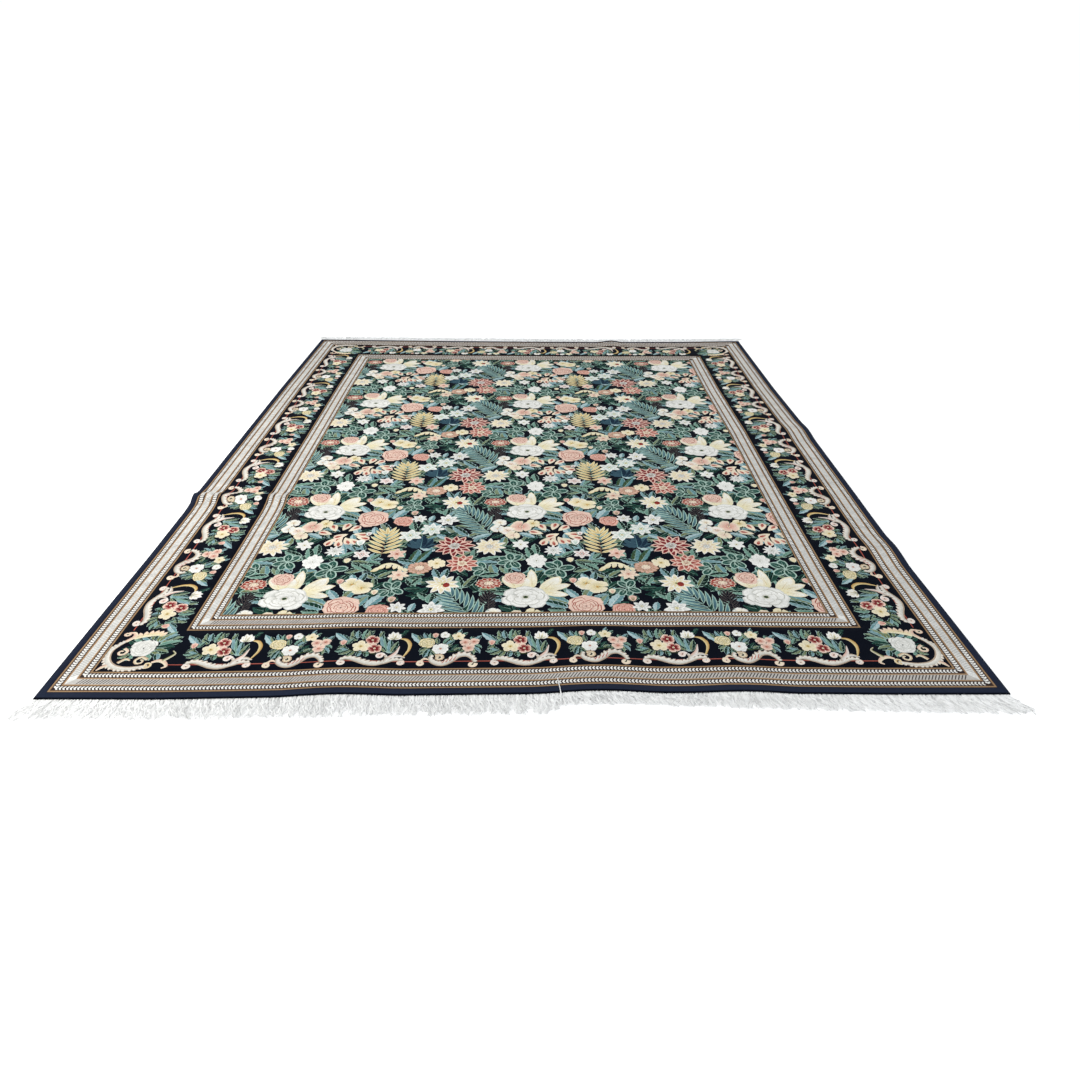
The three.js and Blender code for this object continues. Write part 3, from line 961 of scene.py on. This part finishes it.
def seams(triangles, tops):
    """The edges where two colours meet, or where the sheet ends."""
    edges = np.sort(np.concatenate([triangles[:, [0, 1]], triangles[:, [1, 2]], triangles[:, [2, 0]]]), 1)
    owner = np.concatenate([tops, tops, tops])
    span = int(triangles.max()) + 1
    keys = edges[:, 0] * span + edges[:, 1]
    order = np.argsort(keys, kind="stable")
    keys, owner, edges = keys[order], owner[order], edges[order]
    paired = np.zeros(len(keys), bool)
    same = keys[1:] == keys[:-1]
    inside = same & (owner[1:] == owner[:-1])
    paired[1:] |= inside
    paired[:-1] |= inside
    first = np.ones(len(keys), bool)
    first[1:] = ~same
    return edges[first & ~paired]


def straightened(points, edges, fixed):
    """The same lines without points that lie on straight runs of them."""
    links = {}
    for a, b in edges.tolist():
        links.setdefault(a, set()).add(b)
        links.setdefault(b, set()).add(a)
    flat = points.tolist()
    for here in list(links):
        near = links[here]
        if len(near) != 2 or fixed[here]:
            continue
        a, b = near
        if b in links[a]:
            continue
        (ax, ay), (bx, by), (x, y) = flat[a], flat[b], flat[here]
        run = math.hypot(bx - ax, by - ay)
        if run > GRID_STEP or run == 0:
            continue
        if abs((bx - ax) * (y - ay) - (by - ay) * (x - ax)) > SLACK * run:
            continue
        links[a].remove(here)
        links[b].remove(here)
        links[a].add(b)
        links[b].add(a)
        del links[here]
    return np.array([(a, b) for a in links for b in links[a] if a < b])


def mosaic(ground, patches, outline, hole=None):
    """The patches on their ground inside an outline, and outside a hole if there is one."""
    low, high = outline.min(0), outline.max(0)
    seen = [p for p in patches if (p.outline.max(0) > low).all() and (p.outline.min(0) < high).all()]
    layers = [patch(outline, ground)] + seen
    rings = [p.outline for p in layers]
    loops = rings + ([hole] if hole is not None else [])
    edges = []
    total = 0
    for ring in loops:
        numbers = total + np.arange(len(ring))
        edges.append(np.stack([numbers, np.roll(numbers, -1)], 1))
        total += len(ring)
    points, triangles, middles = triangulated(np.concatenate(loops), np.concatenate(edges), outline, hole)
    edges = seams(triangles, topmost(middles, rings))
    rim = on_edge(points, outline)
    if hole is not None:
        rim |= on_edge(points, hole)
    edges = straightened(points, edges, rim)
    used, edges = np.unique(edges, return_inverse=True)
    grid = grid_points(outline, hole, GRID_STEP)
    points, triangles, middles = triangulated(
        np.concatenate([points[used], grid]), edges.reshape(-1, 2), outline, hole)
    tops = topmost(middles, rings)
    used, triangles = np.unique(triangles, return_inverse=True)
    points = points[used]
    triangles = triangles.reshape(-1, 3)
    near, far, start, end = (
        np.array([getattr(p, part) for p in layers])[tops][:, None, :]
        for part in ("near", "far", "start", "end")
    )
    run = end - start
    share = ((points[triangles] - start) * run).sum(2, keepdims=True) / (run ** 2).sum(2, keepdims=True)
    return Sheet(points, triangles, near + (far - near) * np.clip(share, 0, 1))


def grid_points(outline, hole, step):
    """Points over a rectangle, clear of its edges, so that triangles are small enough to follow ripples."""
    low, high = outline.min(0) + step / 2, outline.max(0) - step / 2
    xs = np.arange(low[0], high[0], step)
    ys = np.arange(low[1], high[1], step)
    grid = np.array([(x, y) for x in xs for y in ys]).reshape(-1, 2)
    if hole is not None and len(grid):
        clear = step / 4
        grid = grid[((grid < hole.min(0) - clear) | (grid > hole.max(0) + clear)).any(1)]
    return grid


def inset_rectangle(depth, step=GRID_STEP):
    """The rectangle that lies so far in from the rug's edge."""
    x, y = WIDTH / 2 - depth, LENGTH / 2 - depth
    return rectangle(-x, -y, x, y, step)


Side = namedtuple("Side", "origin along inward length")


def sides(depth):
    """The four sides of the rectangle at a depth, each with its bouquets' own direction along it."""
    x, y = WIDTH / 2 - depth, LENGTH / 2 - depth
    return [
        Side((-x, -y), (1, 0), (0, 1), 2 * x),
        Side((-x, y), (1, 0), (0, -1), 2 * x),
        Side((-x, -y), (0, 1), (1, 0), 2 * y),
        Side((x, -y), (0, 1), (-1, 0), 2 * y),
    ]


def on_side(patches, side, along):
    """Patches drawn along and in from a side, put at a place along it."""
    place = np.array(side.origin) + along * np.array(side.along)
    return mapped(patches, [side.along, side.inward], place)


# Guard stripes, from their outer line in: where each line ends, as a share of the guard, and its colour
GUARD_LINES = [
    (0.015, UMBER), (0.065, CORD), (0.085, BROWN), (0.30, UMBER), (0.315, BROWN), (0.355, CORD),
    (0.37, TAN), (0.63, GREIGE), (0.645, TAN), (0.685, CORD), (0.70, BROWN), (0.915, UMBER),
    (0.935, BROWN), (0.985, CORD), (1.0, UMBER),
]
ROPES = ((0.085, 0.30), (0.70, 0.915))
HATCH = (0.385, 0.615)
ROPE_PITCH = 9.3
ROPE_SLANT = 3.6
ROPE_MARGIN = 2.2
ROPE_DASHES = (5, 6)  # at the ends, where the photo shows more of the dark ground, and along the sides
HATCH_PITCH = 8.5
HATCH_DASH = 3.4
HATCH_SLANT = 0.6


def guard_patches(depth, width):
    """A guard stripe's lines, roped dashes and hatching, mitred at the corners."""
    made = []
    for side in sides(depth):
        # the same guard is painted darker at the ends (stone ground, ash hatch) and lighter along the sides
        # (greige ground, flint hatch): painted shade and painted sheen of one pile
        if side.along == (1, 0):
            ground, weave, bead = SHADED_STONE, ASH, ROPE_DASHES[0]
        else:
            ground, weave, bead = GREIGE, SHEENED_FLINT, ROPE_DASHES[1]
        flat = []
        begin = 0.0
        for end, colour in GUARD_LINES:
            colour = ground if colour is GREIGE else colour
            low, high = begin * width, end * width
            far_low, far_high = side.length - low, side.length - high
            band = np.array([(low, low), (far_low, low), (far_high, high), (high, high)])
            flat.append(patch(stepped(band, GRID_STEP), colour))
            begin = end
        for low, high in ROPES:
            low, high = low * width, high * width
            middle = (low + high) / 2
            ends = high, side.length - high
            low, high = low + ROPE_MARGIN, high - ROPE_MARGIN
            pitch = (ends[1] - ends[0]) / round((ends[1] - ends[0]) / ROPE_PITCH)
            for s in np.arange(ends[0] - pitch, ends[1] - pitch / 2, pitch):
                dash = [
                    (s, middle), (s + ROPE_SLANT, low), (s + ROPE_SLANT + bead, low),
                    (s + bead, middle), (s + ROPE_SLANT + bead, high), (s + ROPE_SLANT, high),
                ]
                flat.append(patch(dash, WHITE))
        low, high = (share * width for share in HATCH)
        for k in range(int((side.length - 2 * high) / HATCH_PITCH) - 2):
            s = high + (k + 1) * HATCH_PITCH
            lean = (high - low) * HATCH_SLANT
            dash = [(s, low), (s + HATCH_DASH, low), (s + HATCH_DASH + lean, high), (s + lean, high)]
            flat.append(patch(dash, weave))
        made += on_side(flat, side, 0)
    return made


# The thin red line under the bouquets, in from the border's outer line
RED_LINE = 26
RED_LINE_WIDTH = 3


def border_patches():
    """The main border: a red line along each side, bouquets by turns and a spray in each corner."""
    made = []
    kinds = (bouquet_a(), bouquet_b())
    corner = corner_spray()
    width = MAIN_BORDER - OUTER_GUARD
    inner = RED_LINE + RED_LINE_WIDTH
    counts = (BOUQUETS_ACROSS, BOUQUETS_ACROSS, BOUQUETS_ALONG, BOUQUETS_ALONG)
    pitches = (PITCH_ACROSS, PITCH_ACROSS, PITCH_ALONG, PITCH_ALONG)
    for side, count, pitch in zip(sides(OUTER_GUARD), counts, pitches):
        end = side.length - width
        line = np.array([(width, RED_LINE), (end, RED_LINE), (end, inner), (width, inner)])
        made += on_side([patch(stepped(line, GRID_STEP), BRICK, ROSE, (0, RED_LINE), (0, inner))], side, 0)
        stretch = [[pitch / PITCH_ACROSS, 0], [0, 1]]
        for k in range(count):
            place = side.length / 2 + (k - (count - 1) / 2) * pitch
            made += on_side(mapped(kinds[k % 2], stretch), side, place)
    x, y = WIDTH / 2 - OUTER_GUARD, LENGTH / 2 - OUTER_GUARD
    for east in (-1, 1):
        for north in (-1, 1):
            made += on_side(corner, Side((east * x, north * y), (-east, 0), (0, -north), 0), 0)
    return made


FIELD_ROWS = range(-1, 6)
FIELD_COLUMNS = range(-2, 4)


def field_patches():
    """The repeat over the whole field, each patch of it in all its places before the next one."""
    cell = filler_leaves() + field_leaves() + field_flowers()
    half = np.array([WIDTH, LENGTH]) / 2 - INNER_GUARD
    pitch = np.array([CELL_WIDTH, CELL_LENGTH])
    places = [FIRST_PEONY + pitch * (column, row) for row in FIELD_ROWS for column in FIELD_COLUMNS]
    made = []
    for one in cell:
        low, high = one.outline.min(0), one.outline.max(0)
        for place in places:
            if (low + place < half).all() and (high + place > -half).all():
                made += mapped([one], np.eye(2), place)
    return made


# Meshes

def triangle_mesh(name, points, triangles, tints, uvs, smooth):
    """An object of triangles, with a colour and a map point at each corner."""
    mesh = bpy.data.meshes.new(name)
    mesh.vertices.add(len(points))
    mesh.vertices.foreach_set("co", np.asarray(points, np.float32).ravel())
    mesh.loops.add(3 * len(triangles))
    mesh.loops.foreach_set("vertex_index", np.asarray(triangles, np.int32).ravel())
    mesh.polygons.add(len(triangles))
    mesh.polygons.foreach_set("loop_start", np.arange(0, 3 * len(triangles), 3, dtype=np.int32))
    mesh.update(calc_edges=True)
    mesh.polygons.foreach_set("use_smooth", np.asarray(smooth, bool))
    layer = mesh.color_attributes.new("Tint", "FLOAT_COLOR", "CORNER")
    opaque = np.concatenate([tints.reshape(-1, 3), np.ones((3 * len(triangles), 1))], 1)
    layer.data.foreach_set("color", opaque.astype(np.float32).ravel())
    layer = mesh.uv_layers.new(name="OFBake")
    layer.data.foreach_set("uv", np.asarray(uvs, np.float32).ravel())
    mesh.update()
    made = bpy.data.objects.new(name, mesh)
    bpy.context.scene.collection.objects.link(made)
    return made


def outer_edges(triangles):
    """The edges that only one triangle has, in its direction round."""
    edges = np.concatenate([triangles[:, [0, 1]], triangles[:, [1, 2]], triangles[:, [2, 0]]])
    span = int(triangles.max()) + 1
    forward = edges[:, 0] * span + edges[:, 1]
    backward = edges[:, 1] * span + edges[:, 0]
    return edges[~np.isin(forward, backward)]


def under_side(points, edges, hole):
    """Triangles that close the underside between the same edges, with points enough to follow ripples."""
    inner = grid_points(points, hole, 2 * GRID_STEP)
    flat = np.concatenate([points, inner])
    coords = [Vector(q) for q in flat.tolist()]
    places, _, faces, sources, _, _ = delaunay_2d_cdt(coords, edges.tolist(), [], 0, WELD / 10, True)
    faces = np.array(faces)
    if hole is not None:
        middles = np.array([tuple(p) for p in places])[faces].mean(1)
        faces = faces[~within(middles, hole)]
    return flat, np.array([numbers[0] for numbers in sources])[faces]


# Where a piece's top and the rest of it lie on the map: the lower edge and the height
TOP_MAP = (0.03, 0.965)
REST_MAP = (0.002, 0.016)


def slab(name, sheet, rim=None, hole=None, uneven=PILE_ROUGHNESS):
    """A closed piece: a mosaic on top, a little uneven, walls round it and a plain underside."""
    edges = outer_edges(sheet.triangles)
    ring = np.unique(edges[:, 0])
    at_ring = np.full(len(sheet.points), -1)
    at_ring[ring] = np.arange(len(ring))
    edges = at_ring[edges]
    border = sheet.points[ring]
    limit = sheet.points.max(0)
    outward = np.where(np.abs(np.abs(border) - limit) < ON_EDGE, np.sign(border), 0)
    levels = rim or [(0, PILE_TOP), (0, PILE_FOOT)]
    rough = np.random.default_rng(PILE_SEED).uniform(-1, 1, len(sheet.points)) * uneven
    rough[ring] = 0
    places = [on_cloth(sheet.points, levels[0][1] + rough)]
    rows = [ring]
    total = len(sheet.points)
    first = levels[0][0]
    for out, height in levels[1:]:
        rows.append(total + np.arange(len(ring)))
        total += len(ring)
        places.append(on_cloth(border + outward * (out - first), height))
    triangles = [sheet.triangles]
    for above, below in zip(rows[:-1], rows[1:]):
        a, b = edges[:, 0], edges[:, 1]
        triangles.append(np.stack([below[a], below[b], above[b]], 1))
        triangles.append(np.stack([below[a], above[b], above[a]], 1))
    flat, faces = under_side(border + outward * (levels[-1][0] - first), edges, hole)
    places.append(on_cloth(flat[len(ring):], levels[-1][1]))
    below = np.concatenate([rows[-1], total + np.arange(len(flat) - len(ring))])
    triangles.append(below[faces][:, ::-1])
    places = np.concatenate(places)
    triangles = np.concatenate(triangles)
    tops = len(sheet.triangles)
    tints = np.broadcast_to(NAVY, (len(triangles), 3, 3)).copy()
    tints[:tops] = sheet.tints
    span = places[:, :2].max(0) - places[:, :2].min(0)
    uvs = (places[:, :2] - places[:, :2].min(0)) / span
    uvs = uvs[triangles]
    uvs[:tops, :, 1] = TOP_MAP[0] + TOP_MAP[1] * uvs[:tops, :, 1]
    uvs[tops:, :, 1] = REST_MAP[0] + REST_MAP[1] * uvs[tops:, :, 1]
    smooth = np.arange(len(triangles)) < tops
    return triangle_mesh(name, places, triangles, tints, uvs, smooth)


# Materials

def node(tree, kind, inputs=None, **settings):
    """A new node with its settings and input values."""
    made = tree.nodes.new(kind)
    for key, value in settings.items():
        setattr(made, key, value)
    for key, value in (inputs or {}).items():
        made.inputs[key].default_value = value
    return made


WOOL_ROUGHNESS = 0.95
WOOL_SHINE = 0.04
ROW_STRETCH = (0.8, 9.0, 1.0)  # bands of uneven dye lie along the rows of knots
ROW_NOISE = {"Scale": 3.0, "Detail": 4.0}
ROW_RANGE = (0.3, 0.7)
BUMP_STRENGTH = 0.4


def cloth_material(name, brightness, bands, knots, knot_size, knot_depth):
    """Threads of the colour drawn on them, uneven by so much from row to row and from knot to knot."""
    made = bpy.data.materials.new(name)
    made.use_nodes = True
    tree = made.node_tree
    shader = tree.nodes["Principled BSDF"]
    shader.inputs["Roughness"].default_value = WOOL_ROUGHNESS
    shader.inputs["Specular IOR Level"].default_value = WOOL_SHINE
    colour = node(tree, "ShaderNodeAttribute", attribute_name="Tint")
    place = node(tree, "ShaderNodeTexCoord")
    rows = node(tree, "ShaderNodeMapping", {"Scale": ROW_STRETCH})
    uneven = node(tree, "ShaderNodeTexNoise", ROW_NOISE)
    cells = node(tree, "ShaderNodeTexVoronoi", {"Scale": 1 / knot_size})
    row_light = node(tree, "ShaderNodeMapRange", {
        "From Min": ROW_RANGE[0],
        "From Max": ROW_RANGE[1],
        "To Min": brightness - bands,
        "To Max": brightness + bands,
    })
    knot_light = node(tree, "ShaderNodeMapRange", {"To Min": 1 - knots, "To Max": 1 + knots})
    light = node(tree, "ShaderNodeMath", operation="MULTIPLY")
    tinted = node(tree, "ShaderNodeHueSaturation")
    bump = node(tree, "ShaderNodeBump", {"Strength": BUMP_STRENGTH, "Distance": knot_depth})
    for start, end in (
        (place.outputs["Object"], rows.inputs["Vector"]),
        (rows.outputs["Vector"], uneven.inputs["Vector"]),
        (place.outputs["Object"], cells.inputs["Vector"]),
        (uneven.outputs["Fac"], row_light.inputs["Value"]),
        (cells.outputs["Color"], knot_light.inputs["Value"]),
        (row_light.outputs["Result"], light.inputs[0]),
        (knot_light.outputs["Result"], light.inputs[1]),
        (colour.outputs["Color"], tinted.inputs["Color"]),
        (light.outputs["Value"], tinted.inputs["Value"]),
        (tinted.outputs["Color"], shader.inputs["Base Color"]),
        (cells.outputs["Distance"], bump.inputs["Height"]),
        (bump.outputs["Normal"], shader.inputs["Normal"]),
    ):
        tree.links.new(start, end)
    return made


# Pieces

def pile_pieces():
    """The pile, band by band from the field out, in pieces that aren't too heavy."""
    field = inset_rectangle(INNER_GUARD)
    inner = inset_rectangle(MAIN_BORDER)
    main = inset_rectangle(OUTER_GUARD)
    outer = inset_rectangle(EDGE_BAND)
    rim = inset_rectangle(-RIM[0][0], RIM_STEP)
    made = []
    drawn = field_patches()
    x, y = field.max(0)
    cuts = np.linspace(-y, y, FIELD_PIECES + 1)
    for number, (low, high) in enumerate(zip(cuts[:-1], cuts[1:])):
        made.append(slab(f"pile_field_{number + 1}", mosaic(NAVY, drawn, rectangle(-x, low, x, high))))
    drawn = border_patches()
    x, y = main.max(0)
    for name, half in (("front", rectangle(-x, -y, x, 0)), ("back", rectangle(-x, 0, x, y))):
        made.append(slab(f"pile_border_{name}", mosaic(NAVY, drawn, half, inner), hole=inner))
    for name, depth, end, outline, hole in (
        ("pile_inner_guard", MAIN_BORDER, INNER_GUARD, inner, field),
        ("pile_outer_guard", EDGE_BAND, OUTER_GUARD, outer, main),
    ):
        made.append(slab(name, mosaic(GREIGE, guard_patches(depth, end - depth), outline, hole), hole=hole))
    # the plain edge band is navy painted lighter, as painted sheen
    made.append(slab("pile_edge", mosaic(SHEENED_NAVY, [], rim, outer), RIM, outer))
    return made


def foundation():
    """The woven back that the pile stands on."""
    sheet = mosaic(NAVY, [], inset_rectangle(BACK_INSET, BACK_STEP))
    return slab("rug_foundation", sheet, BACK_RIM, uneven=0)


# The fringe: how long its yarns are and how far they lean to the right, at places across each end

FRONT_FRINGE = np.array([
    (-1220, 54, -40), (-1130, 50, -22), (-950, 52, 6), (-500, 54, -4), (60, 52, 5), (110, 22, 3),
    (260, 20, 9), (420, 31, -6), (700, 41, 12), (1080, 48, 24), (1220, 52, 48),
])
BACK_FRINGE = np.array([
    (-1220, 60, -40), (-1050, 66, -10), (-300, 70, 5), (420, 62, -6), (900, 68, 10), (1220, 60, 42),
])

# The narrow strip that the fringe grows from, and its yarns
FRINGE_SEED = 11
KILIM_THICKNESS = 3
KILIM_FLOOR = 0.2
KILIM_STATIONS = 122
KILIM_INSET = 3
KNOTS = 300
KNOT_INSET = 4
YARNS_PER_KNOT = 6
YARN_RADIUS = 1.65
YARN_STEPS = 9
YARN_ROOT = 1.5
YARN_LENGTHS = (0.72, 1.1)  # the shortest and longest yarn, as a share of the length at its place
KNOT_LEAN = 11
YARN_LEAN = 8
YARN_WAVES = (2, 7)
YARN_LOFT = (0.5, 5)  # how high the lowest yarns rise, and how much more the highest do
YARN_SIZES = (0.8, 1.2)
YARN_TIP = 0.75
# yarn tones differ at random; the darker ones also stand for painted shade between the yarns
YARN_SHADES = [0.8, 0.94, 1, 1.02, 1.03]
YARN_MAP = 0.94  # the share of its square of the map that a yarn fills

# The one loose yarn that lies over the front edge, as places along it
LOOSE_YARN = [
    (100, -1540, 3), (99, -1534, 6), (98, -1527, 9.6), (97, -1519, 11), (96, -1511, 11.4),
    (95, -1503, 11.5), (94, -1495, 11.3), (93, -1487, 11), (92, -1479, 10.6), (91, -1471, 10.2),
]


def tubes(paths, radii, shades):
    """Three-sided tubes along paths, each with its own shade and its own square of the map."""
    count, steps = paths.shape[:2]
    ahead = np.gradient(paths, axis=1)
    ahead /= np.linalg.norm(ahead, axis=2, keepdims=True)
    aside = np.cross(ahead, (0, 0, 1))
    aside /= np.linalg.norm(aside, axis=2, keepdims=True)
    over = np.cross(aside, ahead)
    angles = np.radians([90, 210, 330])
    rings = paths[:, :, None] + radii[:, :, None, None] * (
        np.cos(angles)[:, None] * aside[:, :, None] + np.sin(angles)[:, None] * over[:, :, None])
    number = np.arange(count * steps * 3).reshape(count, steps, 3)
    squares = math.ceil(math.sqrt(count))
    cell = np.arange(count)
    home = np.stack([cell % squares, cell // squares], 1) / squares
    triangles, uvs = [], []

    def add(corners, places):
        triangles.append(np.stack(corners, 1))
        uvs.append(home[:, None] + np.array(places)[None] * YARN_MAP / squares)

    for k in range(steps - 1):
        low, high = k / (steps - 1), (k + 1) / (steps - 1)
        for j in range(3):
            a, b = number[:, k, j], number[:, k, (j + 1) % 3]
            c, d = number[:, k + 1, (j + 1) % 3], number[:, k + 1, j]
            left, right = j / 3, (j + 1) / 3
            add((a, b, c), ((left, low), (right, low), (right, high)))
            add((a, c, d), ((left, low), (right, high), (left, high)))
    add((number[:, 0, 2], number[:, 0, 1], number[:, 0, 0]), ((0, 0), (0.02, 0), (0, 0.02)))
    add((number[:, -1, 0], number[:, -1, 1], number[:, -1, 2]), ((0, 0.98), (0.02, 1), (0, 1)))
    parts = len(triangles)
    tints = np.broadcast_to(np.tile(shades, (parts, 1))[:, None], (parts * count, 3, 3))
    return rings.reshape(-1, 3), np.concatenate(triangles), tints, np.concatenate(uvs)


def yarn_paths(side, table, draw):
    """Paths of all the yarns of an end, knot by knot, from under the edge of the kilim to where they lie."""
    count = KNOTS * YARNS_PER_KNOT
    knot = np.repeat(np.arange(KNOTS), YARNS_PER_KNOT)
    pitch = (WIDTH - 2 * KNOT_INSET) / KNOTS
    x = -WIDTH / 2 + KNOT_INSET + (knot + 0.5) * pitch + draw.uniform(-0.45, 0.45, count) * pitch
    length = np.interp(x, table[:, 0], table[:, 1]) * draw.uniform(*YARN_LENGTHS, count)
    lean = np.interp(x, table[:, 0], table[:, 2])
    lean += draw.uniform(-KNOT_LEAN, KNOT_LEAN, KNOTS)[knot]
    lean += draw.uniform(-YARN_LEAN, YARN_LEAN, count)
    layer = draw.uniform(0, 1, count)[:, None]
    share = np.linspace(0, 1, YARN_STEPS + 1)[None]
    phase, turns = draw.uniform(0, 1, (2, count, 1))
    curls = 2 * math.pi * (phase + (1 + 1.3 * turns) * share)
    wave = draw.uniform(*YARN_WAVES, count)[:, None] * np.minimum(share * 3, 1)
    edge = np.full(count, side * LENGTH / 2, float)
    root_x, root_y = drifted(x, edge)
    out = YARN_ROOT + (KILIM_WIDTH + length[:, None]) * share
    past = np.clip((out - KILIM_WIDTH) / length[:, None], 0, 1)
    across = root_x[:, None] + lean[:, None] * share ** 1.3 + wave * np.sin(curls)
    along = root_y[:, None] + side * (out + 0.4 * wave * np.cos(curls))
    high = lift(x, edge)[:, None] * (1 - past) ** 2
    root = (KILIM_THICKNESS + 0.2) * np.clip(1 - past * 3, 0, 1)
    arch = np.sin(math.pi * np.minimum(share * 1.1, 1))
    bulge = (YARN_LOFT[0] + YARN_LOFT[1] * layer) * arch * (0.8 + 0.2 * np.cos(curls))
    return np.stack([across, along, YARN_RADIUS + 0.1 + high + np.maximum(root, bulge)], 2)


def kilim(side):
    """The narrow flat-woven strip between the pile and the fringe."""
    xs = np.linspace(-WIDTH / 2 + KILIM_INSET, WIDTH / 2 - KILIM_INSET, KILIM_STATIONS)
    edge = np.full(len(xs), side * LENGTH / 2, float)
    ring = np.array([
        (PIECE_GAP, KILIM_FLOOR), (PIECE_GAP, KILIM_THICKNESS),
        (KILIM_WIDTH, KILIM_THICKNESS * 0.8), (KILIM_WIDTH, KILIM_FLOOR),
    ])
    x, y = drifted(xs, edge)
    places = np.stack([
        np.repeat(x[:, None], 4, 1),
        y[:, None] + side * ring[:, 0],
        lift(xs, edge)[:, None] + ring[:, 1],
    ], 2).reshape(-1, 3)
    triangles = []
    for k in range(len(xs) - 1):
        for j in range(4):
            a, b = 4 * k + j, 4 * k + (j + 1) % 4
            triangles += [(a, b, b + 4), (a, b + 4, a + 4)]
    last = 4 * (len(xs) - 1)
    triangles += [(2, 1, 0), (3, 2, 0), (last, last + 1, last + 2), (last, last + 2, last + 3)]
    triangles = np.array(triangles)
    return places, triangles if side > 0 else triangles[:, ::-1]


def fringe(name, side, table, loose=()):
    """One end's kilim and yarns as one piece."""
    draw = np.random.default_rng(FRINGE_SEED + side)
    paths = yarn_paths(side, table, draw)
    if loose:
        extra = np.array(loose, float)[None]
        extra[..., 2] += lift(extra[..., 0], np.maximum(extra[..., 1], -LENGTH / 2))
        paths = np.concatenate([paths, extra])
    taper = np.linspace(1, YARN_TIP, paths.shape[1])[None]
    radii = YARN_RADIUS * draw.uniform(*YARN_SIZES, (len(paths), 1)) * taper
    # each yarn's tone; the darker ones are painted shade among the yarns
    shades = COTTON * draw.choice(YARN_SHADES, (len(paths), 1))
    places, triangles, tints, uvs = tubes(paths, radii, shades)
    strip, faces = kilim(side)
    flat = np.full((len(faces), 3, 2), 0.995) + np.array([(0, 0), (0.004, 0), (0, 0.004)])
    return triangle_mesh(
        name,
        np.concatenate([places, strip]) * MM,
        np.concatenate([triangles, faces + len(places)]),
        np.concatenate([tints, np.broadcast_to(COTTON, (len(faces), 3, 3))]),
        np.concatenate([uvs, flat]),
        np.concatenate([np.ones(len(triangles), bool), np.zeros(len(faces), bool)]),
    )


# The stage, in metres and watts
FLOOR_SIZE = 40
FLOOR_DROP = 0.0005
FLOOR_COLOUR = (0.95, 0.95, 0.95, 1)
FLOOR_ROUGHNESS = 0.8
FLOOR_GLOW = 0.2
SKY_COLOUR = (0.955, 0.98, 1, 1)
SKY_STRENGTH = 1.06
WINDOW_SIZE = (1.2, 2.6)
WINDOW_POWER = 26
WINDOW_COLOUR = (1, 0.965, 0.91)
WINDOW_PLACE = (-2.0, -0.7, 1.2)
WINDOW_TILT = -45
CAMERA_SENSOR = 36
CAMERA_LENS = 26.43
CAMERA_PLACE = (0.0396, -3.045, 1.349)
CAMERA_PITCH = 30.435
CAMERA_YAW = -0.236


def pale_floor():
    """A pale ground that glows a little, so that it is as white as the photo's."""
    bpy.ops.mesh.primitive_plane_add(size=FLOOR_SIZE, location=(0, 0, -FLOOR_DROP))
    made = bpy.context.object
    made.name = "floor"
    pale = bpy.data.materials.new("floor_pale")
    pale.use_nodes = True
    shader = pale.node_tree.nodes["Principled BSDF"]
    shader.inputs["Base Color"].default_value = FLOOR_COLOUR
    shader.inputs["Roughness"].default_value = FLOOR_ROUGHNESS
    shader.inputs["Emission Color"].default_value = (1, 1, 1, 1)
    shader.inputs["Emission Strength"].default_value = FLOOR_GLOW
    made.data.materials.append(pale)
    return made


def placed(data, place, turns):
    """A lamp or a camera at a place, turned by degrees about each axis."""
    made = bpy.data.objects.new(data.name, data)
    made.location = place
    made.rotation_euler = [math.radians(turn) for turn in turns]
    bpy.context.scene.collection.objects.link(made)
    return made


def stage():
    """The floor, soft light from all round, a window at the left and the camera at the photo's place."""
    floor = pale_floor()
    world = bpy.data.worlds.new("studio")
    bpy.context.scene.world = world
    world.use_nodes = True
    sky = world.node_tree.nodes["Background"]
    sky.inputs["Color"].default_value = SKY_COLOUR
    sky.inputs["Strength"].default_value = SKY_STRENGTH
    light = bpy.data.lights.new("window", "AREA")
    light.shape = "RECTANGLE"
    light.energy = WINDOW_POWER
    light.color = WINDOW_COLOUR
    light.size, light.size_y = WINDOW_SIZE
    placed(light, WINDOW_PLACE, (0, WINDOW_TILT, 0))
    camera = bpy.data.cameras.new("camera")
    camera.sensor_width = CAMERA_SENSOR
    camera.lens = CAMERA_LENS
    eye = placed(camera, CAMERA_PLACE, (90 - CAMERA_PITCH, 0, CAMERA_YAW))
    bpy.context.scene.camera = eye
    bpy.context.scene.view_settings.view_transform = "Standard"


wool = cloth_material(
    "wool_pile", brightness=0.74, bands=0.07, knots=0.16, knot_size=0.0023, knot_depth=0.0012)
weave = cloth_material(
    "knotted_back", brightness=0.9, bands=0.1, knots=0.5, knot_size=0.0023, knot_depth=0.0006)
cotton = cloth_material(
    "cotton_warp", brightness=1, bands=0.03, knots=0.06, knot_size=0.002, knot_depth=0.0003)
pile = pile_pieces()
back = foundation()
front_fringe = fringe("fringe_front_yarns", -1, FRONT_FRINGE, LOOSE_YARN)
back_fringe = fringe("fringe_back_yarns", 1, BACK_FRINGE)
for pieces, material, slot in (
    (pile, wool, "wool_pile"),
    ([back], weave, "wool_pile"),
    ([front_fringe, back_fringe], cotton, "cotton_warp"),
):
    for piece in pieces:
        piece.data.materials.append(material)
        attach(piece, "root")
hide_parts("rug_body")
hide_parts("fringe_front")
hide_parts("fringe_back")
stage()
